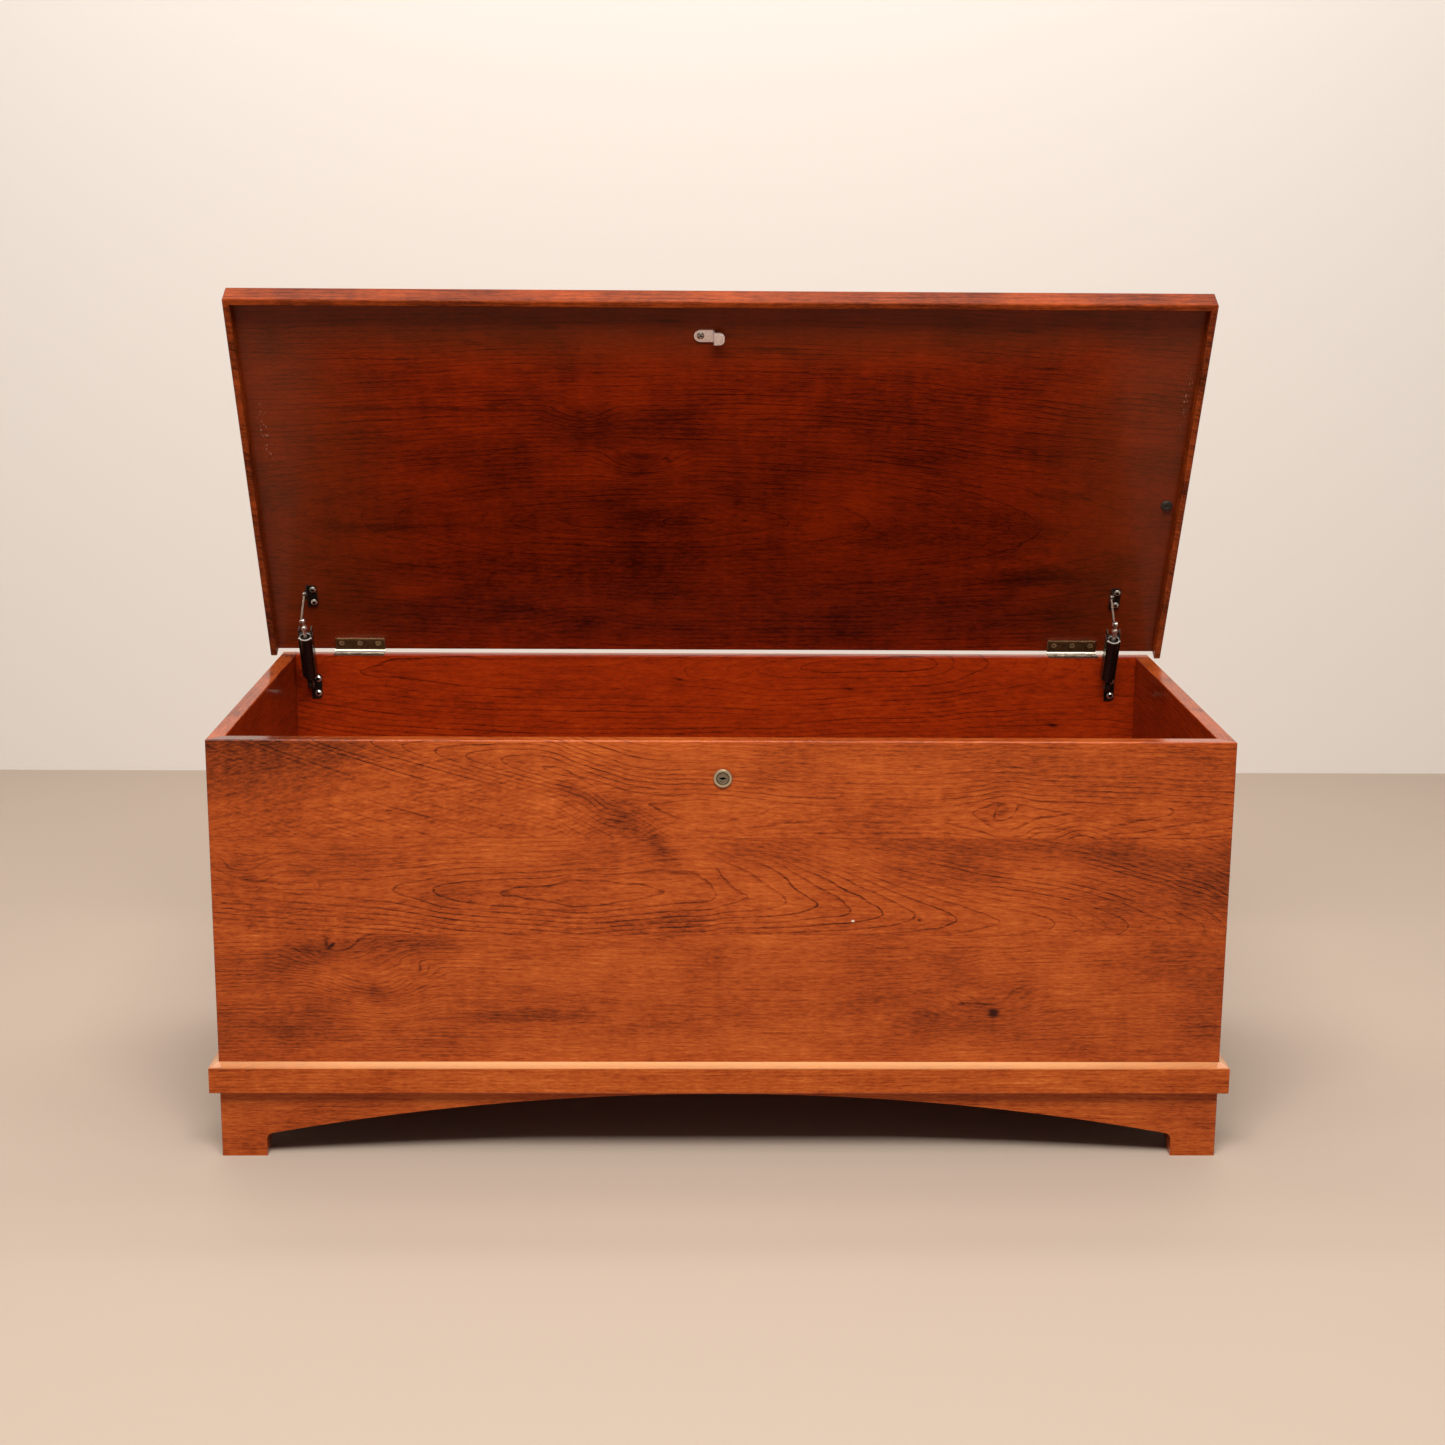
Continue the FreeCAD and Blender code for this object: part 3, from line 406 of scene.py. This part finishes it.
def middle_mask(x, z):
    return (x.curve([(-570, 0.6), (-480, 0.6), (-400, 0.75), (-330, 1.0), (-100, 1.0), (20, 0.95),
                     (100, 1.0), (300, 0.95), (430, 0.88), (570, 0.85)])
            * (z - 288.0).abs().ramp(28.0, 70.0, 1.0, 0.34))


def pale_fleck(x, z, y, face, colour):
    fleck = spot(face, 144.6, 276.7, 2.6, 1.8, 0)
    return mix((fleck * 1.8).clamp(), colour, (0.8, 0.62, 0.5))


# lower front board
LOWER_AXIS = [(-570, 80), (-300, 84), (0, 70), (250, 76), (570, 86)]
LOWER_KNOTS = [
    (-385, 205, 90, 60, -25, 26.0), (-440, 236, 70, 30, 15, 14.0), (-330, 216, 46, 14, -14, 8.0),
    (304, 172, 80, 40, 0, 22.0), (235, 150, 80, 34, 20, 12.0), (266, 224, 46, 40, 0, 6.0)]
LOWER_MARKS = [
    (-429, 248, 7, 3, 38, 0.85), (-433, 244, 60, 18, 10, 0.34), (-480, 232, 60, 30, 25, 0.30),
    (-350, 245, 70, 20, 0, 0.36), (-315, 250, 46, 14, 0, 0.24), (-345, 222, 50, 18, -10, 0.22),
    (-381, 194, 24, 9, -8, 0.60), (-378, 195, 44, 20, -10, 0.22), (-483, 150, 60, 18, 0, 0.32),
    (-440, 166, 30, 34, 0, 0.22), (-365, 150, 24, 14, 0, 0.28), (-230, 163, 120, 9, 0, 0.34),
    (-190, 168, 70, 8, 0, 0.24), (-400, 150, 160, 20, 0, 0.07), (-60, 152, 70, 10, 0, 0.15),
    (-30, 142, 40, 8, 0, 0.12), (262, 222, 30, 32, 0, 0.34), (180, 212, 90, 40, 0, 0.16),
    (280, 181, 26, 1.8, -3, 0.34), (266, 180, 9, 2.2, 8, 0.42), (303.5, 169.8, 9.5, 8.2, 0, 0.92),
    (300, 168, 44, 26, 0, 0.12), (330, 196, 70, 20, 10, 0.16), (235, 152, 90, 26, 14, 0.26),
    (330, 138, 100, 20, -8, 0.20), (-20, 212, 110, 40, 0, 0.08), (70, 205, 60, 12, 0, 0.16),
    (540, 180, 60, 100, 0, 0.18), (-548, 150, 40, 90, 0, 0.20), (130, 195, 100, 60, 0, 0.08)]


def lower_rings(x, z, y):
    return (z - x.curve(LOWER_AXIS)) + y * 0.35 + 60.0, None


def lower_mask(x, z):
    return x.curve([(-570, 0.75), (-300, 0.75), (-200, 0.35), (150, 0.3), (230, 0.5), (330, 0.5),
                    (420, 0.35), (570, 0.35)])


def centre_sheen_and_seams(x, z, y):
    """painted sheen: the middle of the front is slightly lighter, where the lamp's reflection
    lies; each seam shows as a hair line
    """
    seam = (z - SEAM_1).abs().min((z - SEAM_2).abs()).ramp(0.35, 1.1, 0.085, 0.0)
    return (x * x).fma(-0.000000145, 0.035) - seam - x.ramp(330.0, 540.0, 0.0, 0.018)


# lid underside
LID_AXIS = [(-580, 205), (-400, 200), (-160, 200), (20, 200), (120, 199), (300, 196), (580, 190)]
LID_RINGS = [
    (-580, 90), (-400, 60), (-200, 30), (-100, 22), (-20, 18), (20, 24), (120, 36), (197, 48),
    (300, 66), (430, 88), (580, 110)]
LID_KNOTS = [
    (-95, 284, 75, 34, 0, 26.0), (-165, 350, 60, 40, 0, 16.0), (-170, 60, 90, 60, 0, 14.0),
    (-90, 450, 50, 16, 0, 8.0)]
LID_MARKS = [
    (-168, 340, 60, 34, 0, 0.14), (-140, 345, 30, 40, 0, 0.10), (-105, 283, 50, 20, 0, 0.20),
    (-62, 290, 9, 4, -30, 0.3), (-95, 270, 26, 4, 6, 0.22), (-94, 205, 110, 30, 0, 0.20),
    (-76, 151, 110, 26, 0, 0.12), (-120, 215, 40, 60, 0, 0.10), (-165, 44, 24, 18, -30, 0.18),
    (-384, 361, 150, 5, 0, 0.24), (-300, 360, 60, 3, 0, 0.16), (-450, 360, 60, 3, 0, 0.14),
    (-288, 450, 22, 5, -8, 0.30), (352, 470, 26, 5, -6, 0.30), (384, 420, 22, 4, 0, 0.25),
    (-65, 481, 26, 4, -3, 0.42), (59, 443, 42, 5, -4, 0.42), (-200, 472, 20, 4, 0, 0.25),
    (-430, 188, 70, 10, 0, 0.22), (-350, 190, 140, 7, 0, 0.10), (430, 118, 130, 15, 0, 0.22),
    (230, 120, 90, 12, 0, 0.14), (300, 110, 120, 12, 0, 0.16), (-100, 90, 120, 60, 0, 0.06),
    (420, 240, 120, 8, 0, 0.10), (150, 330, 200, 60, 0, 0.08), (-60, 350, 70, 22, 0, 0.08),
    (200, 60, 160, 40, 0, 0.10), (420, 50, 140, 30, 0, 0.10), (350, 300, 180, 40, 0, 0.08),
    (-430, 70, 130, 20, 0, 0.06), (-280, 60, 90, 20, 0, 0.08)]
LID_EDGE = (2.0, 6.0)       # rise over which the underside's look passes to the edge's


def lid_rings(x, run, rise):
    off = run - x.curve(LID_AXIS)
    return bowl(x.curve(LID_RINGS), off, rise * rise * 0.3)


def lid_sheen_and_rubs(x, run, rise, face, colour):
    """painted reflection of the room: browner towards the ends and front edge; and a dry rub mark
    near each end
    """
    def rub(ellipse, per_mm_x, per_mm_run, shift):
        grit = noise(vec(x * per_mm_x, run * per_mm_run, shift))
        return spot(face, *ellipse) * grit.ramp(0.10, 0.2) * 1.1

    left = rub((-547, 330, 9, 70, 3), 0.5, 0.16, 0.0)
    right = rub((556, 380, 8, 60, -3), 0.6, 0.22, 3.0)
    # painted reflection: the underside turns browner towards the ends and front edge
    rim = x.abs().ramp(330.0, 560.0).max(run.ramp(395.0, 480.0)) * rise.ramp(*LID_EDGE, 0.45, 0.0)
    colour = mix(rim, colour, (0.135, 0.034, 0.0075))
    return mix((left + right).clamp(), colour, (0.42, 0.24, 0.15))


# back panel
BACK_AXIS = [(-560, 470), (-200, 455), (60, 462), (300, 470), (560, 440)]
BACK_RINGS = [(-560, 60), (-300, 34), (-60, 30), (150, 10), (240, 8), (330, 26), (560, 60)]
BACK_MARKS = [
    (-49, 449, 12, 2.6, -10, 0.5), (172, 437, 12, 3, -8, 0.5), (435, 390, 11, 4, -5, 0.55),
    (-47, 376, 9, 3, 0, 0.4), (420, 396, 60, 14, 10, 0.1)]


def back_rings(x, z, y):
    off = z - x.curve(BACK_AXIS)
    return bowl(x.curve(BACK_RINGS), off, (y - BACK_GRAIN_Y) * (y - BACK_GRAIN_Y) * 0.2)


# side panels
SIDE_AXIS_Z = 250.0
SIDE_RINGS = [(-40, 50), (120, 20), (260, 8), (420, 34), (560, 70)]


def side_rings(y, z, x):
    square = (z - SIDE_AXIS_Z) * (z - SIDE_AXIS_Z) + y.curve(SIDE_RINGS) * y.curve(SIDE_RINGS)
    return square.sqrt(), None


def inner_face(*tint):
    """the side panels' inner faces are a deeper red than their outer faces"""
    def extra(y, z, x, face, colour):
        inside = x.abs().ramp(INNER_X + 0.2, INNER_X + 0.9, 1.0, 0.0)
        return mix(inside, colour, tint, "MULTIPLY")
    return extra


def bevel_light(along, z, depth, face, colour):
    """the sloping top of the moulding catches the light, most in the middle"""
    normal = add_node(z.tree, "NewGeometry", output="True Normal")
    up = sep(normal)[2]
    amount = along.abs().ramp(330.0, 560.0, 0.74, 0.46) * z.ramp(108.2, 111.4, 0.70, 1.0)
    return mix(up.ramp(0.2, 0.5) * amount, colour, (0.74, 0.395, 0.165))


def end_rings(x, run, rise):
    return x + rise * 0.4, None


looks = {}      # piece name: material
looks["front_board_upper"] = wood(
    "wood_front_upper", "xz", 0.31, upper_rings, UPPER_KNOTS, UPPER_MARKS, ring=0.76, tone=0.052,
    wander=4.0, faint=0.18, pick=(-0.08, 0.20), core=(38.0, 62.0, 0.62), mask=upper_mask,
    band=centre_sheen_and_seams)
looks["front_board_middle"] = wood(
    "wood_front_middle", "xz", 1.7, middle_rings, MIDDLE_KNOTS, MIDDLE_MARKS, ring=0.74,
    tone=0.036, wander=3.0, faint=0.22, pick=(-0.10, 0.20), core=(52.0, 120.0, 0.66),
    mask=middle_mask, band=centre_sheen_and_seams, extra=pale_fleck)
looks["front_board_lower"] = wood(
    "wood_front_lower", "xz", 2.9, lower_rings, LOWER_KNOTS, LOWER_MARKS, spacing=4.4, ring=0.60,
    tone=0.044, wander=12.0, mask=lower_mask, band=centre_sheen_and_seams)
looks["back_panel"] = wood(
    "wood_back", "xz", 5.3, back_rings, marks=BACK_MARKS, spacing=6.0, ring=0.50, tone=-0.022,
    fibre=0.62, mottle=0.55, gloss=0.7, stops=INNER, outside=(486.0, 492.0))
for side, seed, mark, tint in (
        ("left", 7.1, (180, 330, 40, 14, 8, 0.2), (0.82, 0.46, 0.22)),
        ("right", 8.6, (300, 180, 50, 20, -6, 0.2), (0.70, 0.36, 0.18))):
    looks[side + "_side_panel"] = wood(
        "wood_%s_side" % side, "yz", seed, side_rings, marks=[mark], ring=0.45, gloss=0.55,
        extra=inner_face(*tint))
for side, coords, seed, tone in (
        ("front", "xz", 9.4, 0.085), ("back", "xz", 10.2, 0.0),
        ("left", "yz", 11.3, 0.0), ("right", "yz", 12.1, 0.0)):
    looks[side + "_apron"] = wood("wood_%s_apron" % side, coords, seed, tone=tone)
for side, coords, seed, tone, band in (
        # the front moulding's band is a painted sheen, slightly lighter in the middle
        ("front", "xz", 13.7, 0.10, lambda x, z, y: (x * x).fma(-0.00000016, 0.03)),
        ("left", "yz", 14.2, 0.05, None), ("right", "yz", 15.9, 0.05, None)):
    looks[side + "_moulding"] = wood(
        "wood_%s_moulding" % side, coords, seed, spacing=4.0, tone=tone, gloss=0.7, band=band,
        extra=bevel_light)
looks["lid_panel"] = wood(
    "wood_lid", "lid", 17.3, lid_rings, LID_KNOTS, LID_MARKS, spacing=6.5, ring=0.34, fibre=0.62,
    mottle=0.9, gloss=0.55, stops=INNER, outside=LID_EDGE, extra=lid_sheen_and_rubs,
    band=lambda x, run, rise: rise.ramp(*LID_EDGE, -0.14, 0.02))
looks["lid_front_edging"] = wood(
    "wood_lid_front_edge", "lid", 19.9, ring=0.30, tone=-0.18, gloss=0.04, fibre=0.6)
for side, seed, tone, gloss in (("left", 21.4, -0.20, 0.10), ("right", 22.8, -0.16, 0.20)):
    looks["lid_%s_edging" % side] = wood(
        "wood_lid_%s_edge" % side, "lid", seed, end_rings, spacing=3.2, ring=0.25, tone=tone,
        gloss=gloss)
looks["bottom_panel"] = wood(
    "wood_bottom", "xy", 24.1, spacing=7.0, ring=0.4, tone=-0.02, stops=INNER)
for side, coords, seed in (("front", "xz", 25.0), ("back", "xz", 26.0),
                           ("left", "yz", 27.0), ("right", "yz", 28.0)):
    cleat = "bottom_cleat_" + side
    looks[cleat] = wood("wood_" + cleat, coords, seed, ring=0.3, tone=-0.02)
for i, corner in enumerate(("front_left", "front_right", "back_left", "back_right")):
    looks["corner_block_" + corner] = wood(
        "wood_block_" + corner, "zx", 29.0 + i, ring=0.3, tone=-0.04)


# ------------------------------------------------------------------ metals and rubber
def metal(name, base, dark, rough, scale=200.0, blotch=0.5, metallic=1.0, brushed=False,
          edge=None, zones=()):
    """base blotched with dark. rough: range of roughness; scale: blotches per m;
    edge: (radius in m, amount, colour) of lighter edges, partly wear and partly painted highlight;
    zones: (mask function, colour)"""
    material, tree, shader = new_material(name)
    point = case_mm(tree)
    large = noise(point, scale * 0.001, 4.0, 0.6)
    small = noise(point, scale * 0.006)
    colour = mix((large * 1.5 + small * 0.7).ramp(-0.5, 0.5) * blotch, base, dark)
    if edge is not None:
        # lighter edges: partly real wear, partly a painted highlight
        radius, amount, wear_and_highlight = edge
        rounded = add_node(tree, "Bevel", {"Radius": radius}, samples=4)
        normal = add_node(tree, "NewGeometry", output="Normal")
        agree = add_node(tree, "VectorMath", {0: rounded, 1: normal}, "Value",
                         operation="DOT_PRODUCT")
        colour = mix(agree.ramp(0.93, 0.995, 1.0, 0.0) * amount, colour, wear_and_highlight)
    for mask, tint in zones:
        colour = mix(mask(point), colour, tint)
    relief = small * 0.5 + noise(point, 3.0, 2.0, 0.6) * 0.5
    if brushed:
        # fine scratches along x
        x, y, z = sep(point)
        relief = relief + noise(vec(x * 0.05, y * 6.0, z * 6.0), 1.0, 2.0, 0.6)
    set_shader(shader, Base_Color=colour, Metallic=metallic,
               Roughness=small.ramp(-0.4, 0.4, *rough),
               Normal=bump(relief, distance=0.00003, strength=0.5))
    return material


# Masks: 1 where a zone's colour shows. Radii and distances in mm.
def length(first, second):
    return (first * first + second * second).sqrt()


def pin_radius(point):
    x, y, z = sep(point)
    return ((y - PIN_Y) * (y - PIN_Y) + (z - PIN_Z) * (z - PIN_Z)).sqrt()


def knuckle_highlight(point):
    """painted highlight on the hinge knuckle, not the leaves"""
    return pin_radius(point).ramp(2.95, 3.3, 1.0, 0.0)


def leaf_edge_highlight(point):
    """painted highlight: thin bright line along a leaf's free edge"""
    return pin_radius(point).ramp(18.7, 19.6)


def barrel_mouth(centre_x):
    """bright ring round the barrel's mouth"""
    def mask(point):
        x, y, z = sep(point)
        along = (y - BARREL_Y) * BARREL_DIR_Y + (z - BARREL_Z) * BARREL_DIR_Z
        across = (y - BARREL_Y) * BARREL_DIR_Z + (z - BARREL_Z) * -BARREL_DIR_Y
        radius = ((x - centre_x) * (x - centre_x) + across * across).sqrt()
        return along.ramp(74.9, 75.3) * along.ramp(76.1, 76.5, 1.0, 0.0) * radius.ramp(6.2, 6.7)
    return mask


def case_pit_shade(point):
    """painted shade in the driver pits of the stay screws on the back wall, two at each end"""
    x, y, z = sep(point)
    off_x = (x + 512.1).abs().min((x - 508.4).abs())
    off_z = (z - 448.4).abs().min((z - 429.6).abs())
    return length(off_x, off_z).ramp(1.9, 2.7, 1.0, 0.0)


def lid_pit_shade(point):
    """painted shade in the driver pits of the stay screws under the lid, two at each end"""
    x, run, rise = lid_mm(point)
    off_x = (x + 512.3).abs().min((x - 508.2).abs())
    off_run = (run - 94.6).abs().min((run - 75.2).abs())
    return length(off_x, off_run).ramp(1.9, 2.7, 1.0, 0.0)


def strike_pit_shade(point):
    """painted shade in the driver pit and a painted shadow round the outer rim of the strike's
    screw
    """
    x, run, rise = lid_mm(point)
    radius = length(x + 24.4, run - 462.4)
    return radius.ramp(1.2, 2.0, 1.0, 0.0).max(radius.ramp(3.2, 3.9))


def screw_face_highlight(point):
    """painted highlight on faces that look square out of the lid's underside"""
    x, y, z = sep(add_node(point.tree, "TexCoord", output="Normal"))
    return (y * -math.sin(LID_ANGLE) + z * -math.cos(LID_ANGLE)).ramp(0.97, 0.995)


def lock_radius(point):
    x, y, z = sep(point)
    return (x * x + (z - LOCK_Z) * (z - LOCK_Z)).sqrt()


# painted shade in the lock's recess round the plug
def lock_recess_shade(point):
    return lock_radius(point).ramp(7.1, 7.7, 1.0, 0.0)


# painted shade on the rounded outer edge of the lock's rim
def lock_rim_shade(point):
    return lock_radius(point).ramp(9.0, 10.0) * 0.6


def keyway_shade(point):
    """painted shade: everything behind the plug's face, down the keyway, is near black"""
    return sep(point)[1].ramp(-1.0, -0.5)


# colour of the painted shade in the screws' driver pits
PIT_SHADE = (0.025, 0.018, 0.014)
BLACK = dict(base=(0.014, 0.010, 0.008), dark=(0.004, 0.003, 0.003), rough=(0.18, 0.34),
             scale=160.0, metallic=0.3, edge=(0.0006, 0.5, (0.16, 0.09, 0.06)))
STEEL = dict(rough=(0.2, 0.38), scale=300.0, metallic=0.85,
             edge=(0.0004, 0.5, (0.95, 0.88, 0.82)))
STAY_SCREW = dict(STEEL, base=(0.80, 0.70, 0.62), dark=(0.45, 0.36, 0.30))

brass = metal(
    "antique_brass", (0.125, 0.080, 0.048), (0.045, 0.027, 0.017), (0.20, 0.36), blotch=0.75,
    edge=(0.0007, 0.85, (0.60, 0.47, 0.33)),
    zones=((knuckle_highlight, (0.62, 0.54, 0.44)), (leaf_edge_highlight, (0.55, 0.42, 0.29))))
hinge_screw = metal(
    "antique_brass_screw", (0.05, 0.034, 0.022), (0.02, 0.014, 0.010), (0.3, 0.5), scale=260.0,
    blotch=0.8, edge=(0.0005, 0.8, (0.62, 0.50, 0.36)),
    zones=((screw_face_highlight, (0.50, 0.38, 0.25)),))
looks["lock_housing"] = metal(
    "antique_brass_lock", (0.50, 0.39, 0.25), (0.24, 0.17, 0.10), (0.22, 0.4), scale=260.0,
    blotch=0.35, metallic=0.6, edge=(0.0006, 0.6, (0.88, 0.76, 0.54)),
    zones=((lock_recess_shade, (0.10, 0.072, 0.046)), (lock_rim_shade, (0.20, 0.14, 0.085))))
looks["lock_plug"] = metal(
    "antique_brass_plug", (0.26, 0.20, 0.14), (0.10, 0.075, 0.05), (0.25, 0.42), scale=300.0,
    blotch=0.7, metallic=0.7, edge=(0.0004, 0.8, (0.70, 0.58, 0.42)),
    zones=((keyway_shade, (0.008, 0.006, 0.005)),))
black = metal("stay_black", **BLACK)
for side, barrel_x in (("left", -519.3), ("right", 501.2)):
    looks["stay_%s_barrel" % side] = metal(
        "stay_black_" + side, zones=((barrel_mouth(barrel_x), (0.62, 0.57, 0.52)),), **BLACK)
link = metal(
    "stay_link", (0.17, 0.12, 0.09), (0.06, 0.04, 0.03), (0.25, 0.4), scale=160.0, metallic=0.8,
    edge=(0.0004, 0.5, (0.5, 0.4, 0.32)))
steel = metal("stay_steel", (0.74, 0.66, 0.60), (0.40, 0.33, 0.28), **STEEL)
looks["stay_case_screws"] = metal("stay_screw_case", zones=((case_pit_shade, PIT_SHADE),), **STAY_SCREW)
looks["stay_lid_screws"] = metal("stay_screw_lid", zones=((lid_pit_shade, PIT_SHADE),), **STAY_SCREW)
looks["strike_screw"] = metal(
    "strike_screw", (0.62, 0.56, 0.50), (0.35, 0.33, 0.28), (0.2, 0.35),
    zones=((strike_pit_shade, (0.05, 0.04, 0.03)),))
zinc = metal("zinc", (0.62, 0.6, 0.55), (0.35, 0.33, 0.28), (0.25, 0.4))
looks["strike_plate"] = metal(
    "nickel", (0.95, 0.93, 0.91), (0.84, 0.80, 0.77), (0.18, 0.30), scale=180.0, blotch=0.3,
    metallic=0.85, brushed=True, edge=(0.0007, 0.7, (1.0, 0.99, 0.98)))


def rubber():
    material, tree, shader = new_material("rubber")
    point = case_mm(tree)
    cloud = noise(point, scale=0.6, detail=3.0).ramp(-0.3, 0.3)
    set_shader(shader, Base_Color=mix(cloud, (0.012, 0.009, 0.006), (0.035, 0.026, 0.018)),
               Roughness=0.62, Specular_IOR_Level=0.4,
               Normal=bump(noise(point, scale=4.0), distance=0.00005, strength=0.6))
    return material


looks["lid_bumper"] = rubber()
for side in ("left", "right"):
    for leaf in ("case", "lid"):
        looks["hinge_%s_%s_leaf" % (side, leaf)] = brass
        looks["stay_%s_%s_bracket" % (side, leaf)] = black
    looks["stay_%s_link" % side] = link
    for part in ("rod", "rod_nut", "link_pin"):
        looks["stay_%s_%s" % (side, part)] = steel
looks["hinge_pins"] = brass
looks["hinge_case_screws"] = looks["hinge_lid_screws"] = hinge_screw
looks["stay_case_rivets"] = looks["stay_lid_rivets"] = link
looks["lock_nut"] = looks["lock_cam"] = looks["lock_cam_screw"] = zinc

for name, piece in nodes.items():
    if not piece.data.materials:
        piece.data.materials.append(looks[name])
    for slot in piece.material_slots:
        slot.link = "OBJECT"
        slot.material = looks[name]

# ------------------------------------------------------------------ stage
HALF_WIDTH, HALF_DEPTH, WALL_TOP = 8, 7, 4.5        # m
WALL_Y = 1.80 - FRONT_Y / 1000                      # 1.8 m behind the case's front


def plane(name, corners, colour, one_sided=False):
    mesh = bpy.data.meshes.new(name)
    mesh.from_pydata(corners, [], [(0, 1, 2, 3)])
    sheet = bpy.data.objects.new(name, mesh)
    scene.collection.objects.link(sheet)
    material, tree, shader = new_material(name)
    set_shader(shader, Base_Color=colour, Roughness=0.9, Specular_IOR_Level=0.2)
    if one_sided:
        # seen only from the front
        shown = add_node(tree, "MixShader", {
            0: add_node(tree, "NewGeometry", output="Backfacing"),
            1: Expr(tree, shader.outputs[0]),
            2: add_node(tree, "BsdfTransparent")})
        output = next(node for node in tree.nodes if node.type == "OUTPUT_MATERIAL")
        plug(shown, output.inputs[0])
    mesh.materials.append(material)


plane("floor", [(-HALF_WIDTH, -HALF_DEPTH, 0), (HALF_WIDTH, -HALF_DEPTH, 0),
                (HALF_WIDTH, HALF_DEPTH, 0), (-HALF_WIDTH, HALF_DEPTH, 0)], (0.44, 0.355, 0.29))
plane("backdrop", [(-HALF_WIDTH, WALL_Y, 0), (HALF_WIDTH, WALL_Y, 0),
                   (HALF_WIDTH, WALL_Y, WALL_TOP), (-HALF_WIDTH, WALL_Y, WALL_TOP)],
      (0.80, 0.755, 0.715), one_sided=True)

# ------------------------------------------------------------------ light
WARM = (1.0, 0.97, 0.93)
world = bpy.data.worlds.new("studio")
scene.world = world
world.use_nodes = True
background = world.node_tree.nodes["Background"]
background.inputs[0].default_value = WARM + (1,)
background.inputs[1].default_value = 0.14

# name, place, target, width and height in m, watts, colour
for name, place, target, width, height, power, colour in (
        ("key", (-0.1, -2.3, 3.3), (0, 0, 0.35), 2.6, 1.1, 160, (1.0, 0.965, 0.91)),
        ("front_floor", (0, -0.80, 1.80), (0, -0.80, 0), 2.6, 0.5, 13, WARM),
        ("wall_wash", (0, 0.6, 3.6), (0, WALL_Y, 0.9), 5.0, 0.6, 34, WARM),
        ("overhead", (0, 0.98, 2.75), (0, 0.98, 0), 2.6, 0.3, 22, WARM)):
    light = bpy.data.lights.new(name, "AREA")
    light.shape = "RECTANGLE"
    light.size, light.size_y = width, height
    light.energy = power
    light.color = colour
    lamp = bpy.data.objects.new(name, light)
    scene.collection.objects.link(lamp)
    lamp.location = place
    aim = Vector(target) - Vector(place)
    lamp.rotation_euler = aim.to_track_quat("-Z", "Y").to_euler()

# ------------------------------------------------------------------ camera
PITCH, YAW, ROLL = 0.221165, -0.017341, 0.006925                        # radians
EYE = Vector((-42.84, -2426.57 - FRONT_Y, 1046.70)) * 0.001


def spin(angle):
    cos, sin = math.cos(angle), math.sin(angle)
    return Matrix(((cos, -sin, 0), (sin, cos, 0), (0, 0, 1)))


forward = Vector((0, math.cos(PITCH), -math.sin(PITCH)))
right = Vector((1, 0, 0))
level_view = Matrix((right, forward.cross(right), forward))
view = spin(ROLL) @ level_view @ spin(YAW).transposed()     # rows: right, down, forward
pose = Matrix((view[0], -view[1], -view[2])).transposed().to_4x4()
pose.translation = EYE

lens = bpy.data.cameras.new("camera")
lens.sensor_width = 36.0
lens.sensor_fit = "HORIZONTAL"
lens.lens = 57.393791
lens.shift_y = -0.00034602076
lens.clip_end = 50
camera = bpy.data.objects.new("camera", lens)
scene.collection.objects.link(camera)
camera.matrix_world = pose
scene.camera = camera

scene.view_settings.view_transform = "Standard"
scene.view_settings.look = "None"
